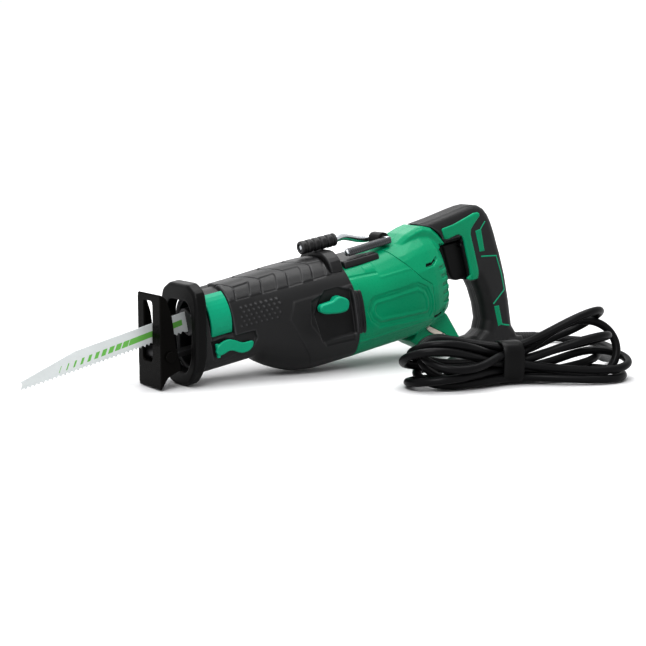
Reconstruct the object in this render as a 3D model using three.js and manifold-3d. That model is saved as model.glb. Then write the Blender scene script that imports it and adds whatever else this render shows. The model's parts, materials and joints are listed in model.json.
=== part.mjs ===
// A corded reciprocating saw standing on its nose collar and handle foot, its cord tied in a hank beside it.
// Millimetres, +Z up. +X runs to the rear of the saw (the blade points along -X), +Y to its right-hand side.
// The saw is drawn in its own frame: x along the plunger's line, z square to it, x = 0 at the nose collar.
// The whole saw is then pitched nose-down, as it rests.
import * as THREE from 'three';
import { mergeVertices } from 'three/addons/utils/BufferGeometryUtils.js';
import Module from 'manifold-3d';

const wasm = await Module();
wasm.setup();

// ---------------------------------------------------------------- driving dimensions
const PITCH = THREE.MathUtils.degToRad(10); // nose-down rest angle
const NOSE_HEIGHT = 53.5; // height of the saw frame's origin above the surface
const GAP = 0.3; // space kept between touching pieces
const SLANT = Math.tan(PITCH); // dx/dz of a plane that stands upright when the saw rests

const PLUNGER_Z = 7;
const PLUNGER_RADIUS = 8;
const STROKE = 32;
const BLADE_THICK = 1.3;
const BLADE_TIP = -171;
const TOOTH_PITCH = 4.5;

const MOTOR_Z = -25; // armature axis
const GEAR_X = 122; // drive gear axis
const GEAR_RADIUS = 29;
const GEAR_TEETH = 44;
const PINION_RADIUS = 6.2;
const PINION_TEETH = 6;

const COVER_WALL = 4;
const CASE_WALL = 4;
const SPLIT_X = 183; // rear edge of the front cover
const GRIP_HALF = 18; // half the handle's width
const CORD_DIAMETER = 8.2;

// ---------------------------------------------------------------- materials
const paint = (color, roughness, metalness = 0) =>
  new THREE.MeshStandardMaterial({ color, roughness, metalness });
const BLACK_RUBBER = paint(0x3c3c3e, 0.75);
const BLACK_PLASTIC = paint(0x2c2c2e, 0.55);
const GREEN = paint(0x0a9a72, 0.4);
const BLACK_PAINT = paint(0x141416, 0.3, 0.3);
const STEEL = paint(0x9b9da0, 0.35, 1);
const BRIGHT = paint(0xd5d8dc, 0.25, 1);
const ALLOY = paint(0xb4b6b8, 0.45, 1);
const IRON = paint(0x6b6c70, 0.5, 1);
const BRASS = paint(0xb8953f, 0.4, 1);
const COPPER = paint(0xa8623a, 0.4, 1);
const CARBON = paint(0x222222, 0.8);
const GREY = paint(0xcfc8bd, 0.5);
const CORD = paint(0x303032, 0.6);

// ---------------------------------------------------------------- solids
function toSolid(geometry) {
  const bare = new THREE.BufferGeometry();
  bare.setAttribute('position', geometry.getAttribute('position').clone());
  if (geometry.index) bare.setIndex(geometry.index.clone());
  const merged = mergeVertices(bare, 1e-4);
  return new wasm.Manifold(new wasm.Mesh({
    numProp: 3,
    vertProperties: new Float32Array(merged.getAttribute('position').array),
    triVerts: new Uint32Array(merged.index.array),
  }));
}

function toGeometry(solid) {
  const mesh = solid.getMesh();
  const geometry = new THREE.BufferGeometry();
  geometry.setAttribute('position', new THREE.BufferAttribute(new Float32Array(mesh.vertProperties), 3));
  geometry.setIndex(new THREE.BufferAttribute(new Uint32Array(mesh.triVerts), 1));
  geometry.computeVertexNormals();
  return geometry;
}

const cut = (body, ...tools) =>
  toGeometry(tools.reduce((rest, tool) => rest.subtract(toSolid(tool)), toSolid(body)));
const join = (...bodies) => toGeometry(bodies.map(toSolid).reduce((all, body) => all.add(body)));
const common = (a, b) => toGeometry(toSolid(a).intersect(toSolid(b)));

function box(x0, x1, y0, y1, z0, z1) {
  const geometry = new THREE.BoxGeometry(x1 - x0, y1 - y0, z1 - z0);
  return geometry.translate((x0 + x1) / 2, (y0 + y1) / 2, (z0 + z1) / 2);
}

// A round bar between two points, tapered when endRadius differs.
function rod(radius, from, to, sides = 20, endRadius = radius) {
  const start = new THREE.Vector3(...from);
  const along = new THREE.Vector3(...to).sub(start);
  const geometry = new THREE.CylinderGeometry(endRadius, radius, along.length(), sides);
  geometry.translate(0, along.length() / 2, 0);
  const up = new THREE.Vector3(0, 1, 0);
  const turn = new THREE.Quaternion().setFromUnitVectors(up, along.clone().normalize());
  return geometry.applyQuaternion(turn).translate(start.x, start.y, start.z);
}

const xRod = (radius, x0, x1, y, z, sides) => rod(radius, [x0, y, z], [x1, y, z], sides);
const yRod = (radius, y0, y1, x, z, sides) => rod(radius, [x, y0, z], [x, y1, z], sides);
const xTube = (outer, bore, x0, x1, y, z, sides = 24) =>
  cut(xRod(outer, x0, x1, y, z, sides), xRod(bore, x0 - 1, x1 + 1, y, z, sides));

// A flat outline whose corners are rounded by the fillet, as far as its edges allow.
function outline(points, fillet = 0) {
  const corners = points.map(([a, b]) => new THREE.Vector2(a, b));
  const shape = new THREE.Shape();
  corners.forEach((corner, i) => {
    const before = corners[(i + corners.length - 1) % corners.length];
    const after = corners[(i + 1) % corners.length];
    const reach = Math.min(fillet, 0.45 * corner.distanceTo(before), 0.45 * corner.distanceTo(after));
    const start = corner.clone().lerp(before, reach / corner.distanceTo(before));
    const end = corner.clone().lerp(after, reach / corner.distanceTo(after));
    if (i === 0) shape.moveTo(start.x, start.y);
    else shape.lineTo(start.x, start.y);
    if (fillet > 0) shape.quadraticCurveTo(corner.x, corner.y, end.x, end.y);
  });
  shape.closePath();
  return shape;
}

function extrude(shape, depth, bevel, steps) {
  return new THREE.ExtrudeGeometry(shape, {
    depth: depth - 2 * bevel,
    bevelEnabled: bevel > 0,
    bevelThickness: bevel,
    bevelSize: bevel,
    bevelOffset: -bevel,
    bevelSegments: 1,
    curveSegments: steps,
  }).translate(0, 0, bevel);
}

const axes = { x: new THREE.Vector3(1, 0, 0), y: new THREE.Vector3(0, 1, 0), z: new THREE.Vector3(0, 0, 1) };

// An [x, z] outline pushed across the saw from y0 to y1.
function slab(points, y0, y1, { fillet = 0, bevel = 0, steps = 3, hole = null, holeFillet = 0 } = {}) {
  const shape = outline(points, fillet);
  if (hole) shape.holes.push(outline(hole, holeFillet));
  const place = new THREE.Matrix4().makeBasis(axes.x, axes.z, axes.y.clone().negate());
  return extrude(shape, y1 - y0, bevel, steps).applyMatrix4(place).translate(0, y1, 0);
}

// A [y, z] outline pushed along the saw from x0 to x1.
function frontSlab(points, x0, x1, { fillet = 0, bevel = 0, steps = 3 } = {}) {
  const place = new THREE.Matrix4().makeBasis(axes.y, axes.z, axes.x);
  return extrude(outline(points, fillet), x1 - x0, bevel, steps).applyMatrix4(place).translate(x0, 0, 0);
}

function circle(radius, sides) {
  const turn = (2 * Math.PI) / sides;
  return Array.from({ length: sides }, (_, i) => new THREE.Vector2(Math.cos(i * turn), Math.sin(i * turn)))
    .map((p) => p.multiplyScalar(radius));
}

// A bar, or a tube when it has a bore, swept along a smooth line through the points.
function sweep(points, radius, sides, steps, bore = 0) {
  const curve = new THREE.CatmullRomCurve3(points.map((p) => new THREE.Vector3(...p)), false, 'centripetal');
  const shape = new THREE.Shape(circle(radius, sides));
  if (bore) shape.holes.push(new THREE.Path(circle(bore, sides)));
  return new THREE.ExtrudeGeometry(shape, { extrudePath: curve, steps, bevelEnabled: false });
}

// A closed skin over rings of equal count, each ring running anticlockwise seen from its far (+X) side.
function loft(rings) {
  const count = rings[0].length;
  const centre = (ring) => ring.reduce((sum, p) => sum.add(p), new THREE.Vector3()).divideScalar(count);
  const points = [...rings.flat(), centre(rings[0]), centre(rings.at(-1))];
  const index = [];
  for (let r = 0; r < rings.length - 1; r++) {
    for (let i = 0; i < count; i++) {
      const [a, b] = [r * count + i, r * count + ((i + 1) % count)];
      index.push(a, b, a + count, b, b + count, a + count);
    }
  }
  const last = (rings.length - 1) * count;
  for (let i = 0; i < count; i++) {
    const next = (i + 1) % count;
    index.push(points.length - 2, next, i, points.length - 1, last + i, last + next);
  }
  const geometry = new THREE.BufferGeometry();
  geometry.setAttribute('position', new THREE.Float32BufferAttribute(points.flatMap((p) => p.toArray()), 3));
  geometry.setIndex(index);
  return geometry;
}

// ---------------------------------------------------------------- the casing's outer form
// Each station is a rounded octagon: half the width, the top and bottom, half the width of the flat top and
// bottom, and the heights between which the side stands upright.
const STATION = ['x', 'half', 'top', 'bottom', 'topHalf', 'bottomHalf', 'shoulder', 'hip'];
const FORM = [
  [0, 30, 33, -45, 13, 13, 16, -30],
  [30, 31.5, 36.5, -45, 14, 14, 17, -31],
  [68, 33, 37, -45, 15, 15, 16, -30],
  [80, 35, 37.5, -54, 16, 17, 15, -30],
  [96, 38, 38, -64, 17, 20, 13, -32],
  [116, 41, 38.5, -72, 18, 22, 11, -36],
  [140, 43, 38.5, -75, 18, 23, 9, -40],
  [183, 44.5, 36, -75.5, 18, 23, 4, -45],
  [183.2, 44.5, 26, -75.5, 20, 23, 3, -45],
  [205, 46, 27, -75, 20, 23, 0, -48],
  [262, 46, 33, -74.5, 18, 23, 0, -50],
  [290, 43, 39, -70, 16, 22, 2, -50],
  [304, 39, 37, -66, 15, 20, 2, -46],
  [316, 31, 30, -60, 12, 16, 0, -42],
].map((row) => Object.fromEntries(STATION.map((key, i) => [key, row[i]])));

function stationAt(x) {
  const after = FORM.findIndex((s) => s.x >= x);
  const [a, b] = [FORM[Math.max(after - 1, 0)], FORM[after]];
  const t = a === b ? 0 : (x - a.x) / (b.x - a.x);
  return Object.fromEntries(STATION.map((key) => [key, THREE.MathUtils.lerp(a[key], b[key], t)]));
}

function ringAt(x, inset, slant = 0) {
  const s = stationAt(x);
  const [half, top, bottom] = [s.half - inset, s.top - inset, s.bottom + inset];
  const [topHalf, bottomHalf] = [s.topHalf - 0.5 * inset, s.bottomHalf - 0.5 * inset];
  const corners = [
    [half, s.hip], [half, s.shoulder], [topHalf, top], [-topHalf, top],
    [-half, s.shoulder], [-half, s.hip], [-bottomHalf, bottom], [bottomHalf, bottom],
  ].map(([y, z]) => new THREE.Vector2(y, z));
  const ring = [];
  corners.forEach((corner, i) => {
    const start = corner.clone().lerp(corners[(i + 7) % 8], 0.42);
    const end = corner.clone().lerp(corners[(i + 1) % 8], 0.42);
    const arc = new THREE.QuadraticBezierCurve(start, corner, end);
    ring.push(...arc.getPoints(2).map((p) => new THREE.Vector3(x + slant * p.y, p.x, p.y)));
  });
  return ring;
}

function casing(x0, x1, inset = 0) {
  const between = FORM.map((s) => s.x).filter((x) => x > x0 + 2 && x < x1 - 2);
  return loft([x0, ...between, x1].map((x) => ringAt(x, inset)));
}

// ---------------------------------------------------------------- the assembly
const saw = new THREE.Group();
saw.rotation.y = -PITCH;
saw.position.z = NOSE_HEIGHT;
const lead = new THREE.Group();

function add(name, geometry, material, group = saw) {
  const mesh = new THREE.Mesh(geometry, material);
  mesh.name = name;
  group.add(mesh);
  return mesh;
}

// A cap screw along Y whose head faces the saw's right-hand side, with a hexagon recess.
function sideScrew(x, z, yHead, length) {
  return cut(
    join(yRod(3.4, yHead - 3, yHead, x, z, 12), yRod(1.6, yHead - length, yHead - 2, x, z, 10)),
    yRod(1.8, yHead - 1.8, yHead + 1, x, z, 6),
  );
}

// ---- blade, plunger and clamp
function bladeShape() {
  const teethLine = (x) => -3 + 0.0585 * x;
  const back = [[24, 13], [8.5, 13], [8.5, 17.8], [-112, 9.6], [BLADE_TIP + 2, -4]];
  const front = [];
  for (let x = BLADE_TIP; x < -6 - TOOTH_PITCH; x += TOOTH_PITCH) {
    front.push([x, teethLine(x)], [x + TOOTH_PITCH * 0.75, teethLine(x) + 1.9]);
  }
  const shank = [[-2, teethLine(-2)], [8.5, teethLine(8.5)], [8.5, 1], [24, 1]];
  return [...back, [BLADE_TIP - 1, -7], ...front, ...shank];
}

add('saw_blade', cut(
  slab(bladeShape(), -BLADE_THICK / 2, BLADE_THICK / 2),
  yRod(2.6, -2, 2, 17, PLUNGER_Z, 12),
), BRIGHT);
add('plunger', xRod(PLUNGER_RADIUS, 27, 148, 0, PLUNGER_Z, 24), STEEL);
add('blade_clamp', cut(
  xRod(14, 8, 42, 0, PLUNGER_Z, 24),
  box(7, 24.4, -1, 1, PLUNGER_Z - 11.2, PLUNGER_Z + 11.6),
  xRod(PLUNGER_RADIUS + GAP, 26.6, 43, 0, PLUNGER_Z, 24),
  yRod(2.5, -15, 15, 17, PLUNGER_Z, 12),
), STEEL);
add('clamp_pin', yRod(2.1, -13, 13, 17, PLUNGER_Z, 12), BRIGHT);

// ---- quick-release lever: a band on the nose, a web and a cam ring round the clamp
const BAND = { inner: 28.9, outer: 32.4, x0: 18.5, x1: 42.3, top: 37, bottom: 118 };

function sector(inner, outer, fromTop, toTop, x0, x1, bevel = 0) {
  const at = (r, degrees) => {
    const a = THREE.MathUtils.degToRad(degrees);
    return [-r * Math.sin(a), PLUNGER_Z + r * Math.cos(a)];
  };
  const steps = 10;
  const angles = Array.from({ length: steps + 1 },
    (_, i) => THREE.MathUtils.lerp(fromTop, toTop, i / steps));
  const points = [...angles.map((a) => at(outer, a)), ...angles.reverse().map((a) => at(inner, a))];
  return frontSlab(points, x0, x1, { bevel });
}

add('blade_release_lever', join(
  sector(BAND.inner, BAND.outer, BAND.top, BAND.bottom, BAND.x0, BAND.x1, 0.8),
  sector(16.5, BAND.inner + 0.6, 62, 82, 24, 34),
  xTube(18, 14.6, 24, 34, 0, PLUNGER_Z),
), GREEN);

// ---- shoe: one bent steel plate with a keyhole slot, on a pin through the bracket's eye
const SHOE_TOP = [-26.5, 46];
const SHOE_BOTTOM = [-42.6, -47.4];
const SHOE_HALF = 23.5;
const PIN = [-27, -16];

function shoeBody() {
  const [tx, tz] = SHOE_TOP;
  const [bx, bz] = SHOE_BOTTOM;
  const outer = slab([[tx, tz], [bx, bz], [-33, -36], [-17, -31.5], [-18.5, -6], [-17.5, 22], [-20, 40]],
    -SHOE_HALF, SHOE_HALF, { fillet: 2.5, steps: 2 });
  const hollow = slab([[tx + 2.6, tz + 4], [bx + 2.6, bz - 4], [0, -60], [0, 60]],
    -SHOE_HALF + 2.5, SHOE_HALF - 2.5);
  const face = frontSlab([
    [-SHOE_HALF, bz - 1], [SHOE_HALF, bz - 1], [SHOE_HALF, tz + 1], [-SHOE_HALF, tz + 1],
  ], -60, 0, { fillet: 7, steps: 3 });
  const slot = frontSlab([
    [-7.5, 38], [11, 38], [11, 14], [9, 5], [14, -3], [14, -21], [-6.5, -21], [-6.5, 6], [-7.5, 16],
  ], -60, -10, { fillet: 4, steps: 2 });
  return cut(common(outer, face), hollow, slot, yRod(4.2, -30, 30, ...PIN, 14));
}

add('shoe', shoeBody(), BLACK_PAINT);
add('shoe_pivot_pin', join(
  yRod(3.9, -24.4, 24.4, ...PIN, 14),
  yRod(5.4, -26.4, -24.1, ...PIN, 14),
  yRod(5.4, 24.1, 26.4, ...PIN, 14),
), BRIGHT);
add('shoe_bracket', cut(
  join(
    box(-26, 92, -8, 8, -23.5, -18.5),
    yRod(6.4, -20, 20, ...PIN, 18),
  ),
  yRod(4.2, -21, 21, ...PIN, 14),
  ...[24, 40, 56].map((x) => box(x, x + 5, -5, 5, -30, -10)),
), STEEL);

// ---- shoe-depth lever on its upright pin, in a pocket on the left side
const DEPTH_PIVOT = [21.5, -30.8];
add('shoe_lever', join(
  slab([
    [18.3, -23.5], [18.8, -20.5], [22, -16.5], [28, -13.9], [35, -13.4], [41, -15.8], [46.5, -19.2], [51, -21.3],
    [57, -21.2], [62, -21.6], [60.8, -27], [55.4, -30.8], [47.5, -31.2], [41.8, -28.6], [37, -25.4],
    [32.4, -24.9], [25, -27.2], [20.7, -26.5],
  ], -33.6, -30, { fillet: 1.5, steps: 1, bevel: 0.7 }),
  rod(2, [...DEPTH_PIVOT, -29], [...DEPTH_PIVOT, -15], 12),
), GREEN);

// ---- nose collar: a thick rubber flange that stands upright at rest
const COLLAR = [
  [-19, 46.8], [19, 46.8], [33, 39.5], [37, 26], [37.5, 0], [36.8, -26], [32, -37.5], [21, -49.5], [12, -52.5],
  [-12, -52.5], [-21, -49.5], [-32, -37.5], [-36.8, -26], [-37.5, 0], [-37, 26], [-33, 39.5],
];
const COLLAR_WINDOW = [
  [-18, 31], [18, 31], [26.5, 20], [27, -6], [25, -26],
  [16, -39], [-16, -39], [-25, -26], [-27, -6], [-26.5, 20],
];

function upright(geometry) {
  const shear = new THREE.Matrix4().set(1, 0, SLANT, 0, 0, 1, 0, 0, 0, 0, 1, 0, 0, 0, 0, 1);
  return geometry.applyMatrix4(shear);
}

add('nose_collar', cut(
  upright(frontSlab(COLLAR, -2.2, 10.5, { fillet: 4, bevel: 1.8, steps: 2 })),
  upright(frontSlab(COLLAR_WINDOW, -10, 20, { fillet: 5, steps: 2 })),
), BLACK_RUBBER);

// ---- front cover: a rubber sleeve over the gear case
const NOSE_WALL = 7;
const NOSE_BACK = 44; // where the hollow nose ends and the gear case begins
const ORBIT = [160, -7.5];
const ORBIT_FLOOR = -39;
const ORBIT_POCKET = [[138, 0], [131, -12], [137, -43], [180, -44], [180, 2], [165, 9], [148, 9]];
const DEPTH_POCKET = [[16, -12], [50, -12.5], [66, -13], [67, -20], [57, -35], [18, -36.5]];

add('front_cover', cut(
  join(loft([ringAt(11.2, 0, SLANT), ringAt(24, 0)]), casing(23.99, SPLIT_X - GAP)),
  loft([ringAt(8, NOSE_WALL, SLANT), ringAt(NOSE_BACK, NOSE_WALL)]),
  casing(NOSE_BACK - 0.1, SPLIT_X, COVER_WALL),
  sector(22, 45, -14, BAND.bottom + 2.5, BAND.x0 - 0.8, BAND.x1 + 0.8),
  slab(DEPTH_POCKET, -50, -27.2, { fillet: 3, steps: 2 }),
  slab(ORBIT_POCKET, -60, ORBIT_FLOOR, { fillet: 4, steps: 2 }),
  yRod(6.6, -60, -20, ...ORBIT, 16),
), BLACK_RUBBER);

// ---- saddle band over the rear of the cover, under the hook's sleeve
const SADDLE = [[-18, 42], [18, 42], [29, 33], [32, 22], [28, 14], [-28, 14], [-32, 22], [-29, 33]];
add('saddle_band', cut(
  frontSlab(SADDLE, 166, 181, { fillet: 5, bevel: 1.2, steps: 2 }),
  casing(150, SPLIT_X, -GAP),
), BLACK_RUBBER);

// ---- gear case: alloy, inside the cover, with a round nose that carries the plunger
const CASE = COVER_WALL + GAP;
const CAVITY_END = 150;
add('gear_case', cut(
  casing(NOSE_BACK + GAP, SPLIT_X - GAP, CASE),
  xRod(17, 40, 60, 0, PLUNGER_Z, 24),
  xRod(13.3, 59, 78, 0, PLUNGER_Z, 24),
  casing(76, CAVITY_END, CASE + CASE_WALL),
  xRod(13.3, CAVITY_END - 1, 166, 0, PLUNGER_Z, 24),
  xRod(10, 160, 169, 0, PLUNGER_Z, 18),
  box(CAVITY_END - 1, 161, -12, 12, -38, -8),
  rod(GEAR_RADIUS + 1.5, [GEAR_X, 0, -21], [GEAR_X, 0, -8], 32),
  xRod(13.3, 160, 190, 0, MOTOR_Z, 24),
  box(40, 100, -8.5, 8.5, -24.2, -17.8),
  yRod(6.4, -60, -20, ...ORBIT, 16),
  slab(ORBIT_POCKET, -60, ORBIT_FLOOR + GAP, { fillet: 4, steps: 2 }),
), ALLOY);

add('plunger_bushing_front', xTube(13, PLUNGER_RADIUS + GAP, 60.5, 75.5, 0, PLUNGER_Z), BRASS);
add('plunger_bushing_rear', xTube(13, PLUNGER_RADIUS + GAP, CAVITY_END, 160, 0, PLUNGER_Z), BRASS);

// ---- drive: pinion on the armature shaft, face gear with a crank pin, yoke on the plunger
function toothed(root, tip, teeth, depth) {
  const points = [];
  for (let i = 0; i < teeth; i++) {
    [[0, root], [0.25, tip], [0.5, tip], [0.75, root]].forEach(([part, r]) => {
      const a = (2 * Math.PI * (i + part)) / teeth;
      points.push([r * Math.cos(a), r * Math.sin(a)]);
    });
  }
  return extrude(outline(points), depth, 0, 1);
}

const GEAR_TOP = -12;
const CRANK_THROW = STROKE / 2;
add('drive_gear', join(
  toothed(GEAR_RADIUS - 2.2, GEAR_RADIUS, GEAR_TEETH, 6).translate(GEAR_X, 0, GEAR_TOP - 6),
  rod(12, [GEAR_X, 0, GEAR_TOP - 9], [GEAR_X, 0, GEAR_TOP - 5], 20),
  rod(5, [GEAR_X, CRANK_THROW, GEAR_TOP - 1], [GEAR_X, CRANK_THROW, GEAR_TOP + 4.6], 14),
), STEEL);
add('balance_weight', frontSlab([[-24, 0], [-10, 0], [-10, 3.6], [-24, 3.6]], -12, 12)
  .translate(GEAR_X, 0, GEAR_TOP + GAP), IRON);
add('gear_shaft', rod(6, [GEAR_X, 0, -60], [GEAR_X, 0, GEAR_TOP - 9 - GAP], 16), STEEL);
const gearBearing = (z0, z1) => cut(rod(13, [GEAR_X, 0, z0], [GEAR_X, 0, z1], 20),
  rod(6 + GAP, [GEAR_X, 0, z0 - 1], [GEAR_X, 0, z1 + 1], 16));
add('gear_bearing_upper', gearBearing(-34, -25), STEEL);
add('gear_bearing_lower', gearBearing(-58, -49), STEEL);
add('crank_yoke', cut(
  join(
    box(GEAR_X - 12, GEAR_X + 12, -26, 26, -7, -3),
    box(GEAR_X - 11, GEAR_X + 11, -6, 6, -3.1, PLUNGER_Z - PLUNGER_RADIUS - GAP),
  ),
  box(GEAR_X - 5.6, GEAR_X + 5.6, -22, 22, -8, -3.8),
), STEEL);

add('orbital_lever', join(
  slab([
    [171.4, -8.6], [169.3, -4], [161.5, 0.6], [156.5, 0.6], [151.5, -2], [136.8, -2.4], [134.2, -5], [134.7, -10],
    [141, -13.6], [152, -15.6], [160, -16.8], [168, -16.4],
  ], -50, -42, { fillet: 3, steps: 2, bevel: 1.6 }),
  yRod(8.3, -43, ORBIT_FLOOR - GAP, ...ORBIT, 20),
  yRod(6, ORBIT_FLOOR - 1, -22, ...ORBIT, 14),
), GREEN);

// ---- motor
add('armature_shaft', join(
  xRod(4.5, 150, 300, 0, MOTOR_Z, 14),
  toothed(PINION_RADIUS - 1.4, PINION_RADIUS, PINION_TEETH, 12)
    .rotateY(Math.PI / 2).translate(142, 0, MOTOR_Z),
), STEEL);
add('armature_core', cut(
  (() => {
    const slots = 12;
    const points = [];
    for (let i = 0; i < slots; i++) {
      [[0.06, 19], [0.14, 24.2], [0.86, 24.2], [0.94, 19]].forEach(([part, r]) => {
        const a = (2 * Math.PI * (i + part)) / slots;
        points.push([r * Math.cos(a), MOTOR_Z + r * Math.sin(a)]);
      });
    }
    return frontSlab(points, 205, 252);
  })(),
  xRod(4.5 + GAP, 200, 260, 0, MOTOR_Z, 14),
), COPPER);
add('commutator', xTube(14, 4.5 + GAP, 262, 282, 0, MOTOR_Z, 20), COPPER);
add('fan', cut(
  (() => {
    const blades = 9;
    const parts = [xRod(36, 188.5, 190.5, 0, MOTOR_Z, 28), xRod(9, 190, 199, 0, MOTOR_Z, 16)];
    for (let i = 0; i < blades; i++) {
      const blade = box(190, 199, -0.8, 0.8, 14, 35).rotateX((2 * Math.PI * i) / blades);
      parts.push(blade.translate(0, 0, MOTOR_Z));
    }
    return join(...parts);
  })(),
  xRod(4.5 + GAP, 180, 205, 0, MOTOR_Z, 14),
), BLACK_PLASTIC);
add('field_core', cut(
  common(xRod(40.5, 206, 251, 0, MOTOR_Z, 28), box(200, 255, -37, 37, -70, 20)),
  xRod(25.4, 200, 260, 0, MOTOR_Z, 24),
), IRON);
add('motor_bearing_front', xTube(13, 4.5 + GAP, 166, 176, 0, MOTOR_Z, 20), STEEL);
add('motor_bearing_rear', xTube(9.5, 4.5 + GAP, 289, 297, 0, MOTOR_Z, 20), STEEL);
add('rear_bearing_plate', cut(
  common(xRod(33, 290.5, 295.5, 0, MOTOR_Z, 24), box(280, 300, -33, 33, MOTOR_Z - 13, MOTOR_Z + 13)),
  xRod(9.5 + GAP, 280, 300, 0, MOTOR_Z, 20),
), BLACK_PLASTIC);
for (const [side, sign] of [['left', -1], ['right', 1]]) {
  const across = (a, b) => [Math.min(sign * a, sign * b), Math.max(sign * a, sign * b)];
  add(`brush_${side}`, box(268, 276, ...across(14.4, 28), MOTOR_Z - 3, MOTOR_Z + 3), CARBON);
  add(`brush_holder_${side}`, cut(
    box(265.5, 278.5, ...across(17, 37), MOTOR_Z - 5.5, MOTOR_Z + 5.5),
    box(267.7, 276.3, ...across(10, 34.5), MOTOR_Z - 3.3, MOTOR_Z + 3.3),
  ), BRASS);
}

// ---- motor case and the tail cover behind its slanting seam
const SEAM = [
  [243, 70], [243, 29], [270, -7], [283, -17], [283, -56], [262, -82], [262, -140], [380, -140], [380, 70],
];
const CREST = [
  [250, 10], [262, 31], [276, 37.5], [288, 40.5], [298.4, 42], [310.6, 37.4], [319.6, 28.6], [328, 15.2],
  [316, 14.6], [300, -8],
];
const CREST_HALF = 19.5;
const FIN = [
  [252, -64], [262, -77], [274, -87], [301, -104.4], [337, -104.4], [318, -62], [306, -50], [262, -50],
];
const FIN_HALF = 20;
const REAR_LIMIT = [
  [200, 60], [320, 60], [330, 14.6], [318, 14.6], [308.5, 13], [305.5, 9], [308, 2], [312.5, -4],
  [313, -44], [316, -57], [319, -62], [337, -100], [337, -120], [200, -120],
];

add('motor_case', cut(
  casing(SPLIT_X + GAP, 300),
  casing(SPLIT_X - 1, 300, CASE_WALL),
  slab(SEAM.map(([x, z]) => [x - GAP, z]), -60, 60),
), GREEN);

const tail = cut(
  common(
    common(join(
      casing(230, 315.9),
      slab(CREST, -CREST_HALF, CREST_HALF, { bevel: 4 }),
      slab(FIN, -FIN_HALF, FIN_HALF, { bevel: 4 }),
    ), slab(SEAM, -60, 60)),
    slab(REAR_LIMIT, -60, 60, { fillet: 3, steps: 2 }),
  ),
  casing(228, 306, CASE_WALL),
  ...[-2, -11, -20, -29, -38].flatMap((z) =>
    [box(299, 320, -50, -22, z - 3.6, z), box(299, 320, 22, 50, z - 3.6, z)]),
);
const LEFT = box(150, 460, -60, -GAP / 2, -180, 90);
const RIGHT = box(150, 460, GAP / 2, 60, -180, 90);
const LOZENGE = [[287, -66], [293, -70], [310, -82], [311, -87], [305, -86.5], [288, -74.5], [284, -69]];
const tailLeft = cut(common(tail, LEFT), slab(LOZENGE, -30, -17.6, { fillet: 3, steps: 2 }));
add('tail_cover_left', tailLeft, GREEN);
add('tail_cover_right', common(tail, RIGHT), GREEN);
add('lozenge_cover', cut(
  slab([
    [287.3, -66.7], [293, -70.4], [309.6, -82.4], [310.5, -86.5], [305, -86], [288.2, -74], [284.5, -69.2],
  ], -21.5, -17.9, { fillet: 3, steps: 2, bevel: 0.6 }),
  yRod(2, -30, -10, 305, -81.5, 12),
), GREY);
add('lozenge_screw', yRod(1.7, -21.8, -18, 305, -81.5, 12), STEEL);

// ---- D-handle shells
const SHELL_WALL = 3.5;
const HANDLE = [
  [292, 42], [324, 44.5], [353, 47.8], [366, 49], [376, 48.8], [384, 46.5], [390.5, 41.8], [395.5, 34.3],
  [399, 25.2], [403, 11], [408, -12], [411.5, -38],
  [413, -70], [413, -98], [416, -112], [415, -127.45], [339, -114.05], [339, -98.5], [360, -98.5], [369.5, -93.5],
  [374, -83], [373.5, -66], [370, -48], [364.5, -33.5], [358, -33.5], [352, 14.6], [322, 15], [292, 20],
];
const FOOT_LIP = [[398, -110], [421, -113.5], [421, -119.5], [398, -119.5]];
const BEHIND_CREST = [
  [280, 80], [299.2, 80], [299.2, 42.4], [311.3, 37.7], [320.4, 28.8], [328.9, 15], [328.9, 0], [280, 0],
];
const HOLLOW = [
  [340, 19], [352, 42], [374, 44.5], [386, 41], [393, 31], [398, 15], [404, -13], [407.5, -38], [409, -70],
  [409, -98], [405, -112], [380, -108], [378, -83], [377.5, -66], [374, -48], [369, -31], [364, 18],
];
const GUARD_ROOT = [405, -116.2]; // where the cord guard sits in the handle foot
const guardAxis = (from, to) => {
  const along = (d) => [GUARD_ROOT[0] + d * Math.cos(PITCH), 0, GUARD_ROOT[1] - d * Math.sin(PITCH)];
  return [along(from), along(to)];
};
const SHELL_SCREWS = [[340, 30], [386, 14], [394, -101]];
const TRIGGER_PIVOT = [352, 9];
const screwHole = ([x, z]) => join(yRod(3.8, 13.6, 25, x, z, 12), yRod(2, -11, 14, x, z, 10));
const handleForm = join(
  cut(
    join(
      slab(HANDLE, -GRIP_HALF, GRIP_HALF, { bevel: 5 }),
      slab(FOOT_LIP, -GRIP_HALF - 1.5, GRIP_HALF + 1.5, { bevel: 2 }),
    ),
    slab(HOLLOW, -GRIP_HALF + SHELL_WALL, GRIP_HALF - SHELL_WALL),
  ),
  ...SHELL_SCREWS.map(([x, z]) => yRod(6, -15, 15, x, z, 12)),
);
const handle = cut(
  handleForm,
  slab(BEHIND_CREST, -60, 60),
  box(320, 371.8, -9.4, 9.4, -32.4, 14),
  rod(7.6, ...guardAxis(0, 30), 16),
  yRod(2.2, -14.6, 14.6, ...TRIGGER_PIVOT, 12),
  ...SHELL_SCREWS.map(screwHole),
);
add('handle_shell_left', common(handle, LEFT), BLACK_RUBBER);
add('handle_shell_right', common(handle, RIGHT), BLACK_RUBBER);

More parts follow.
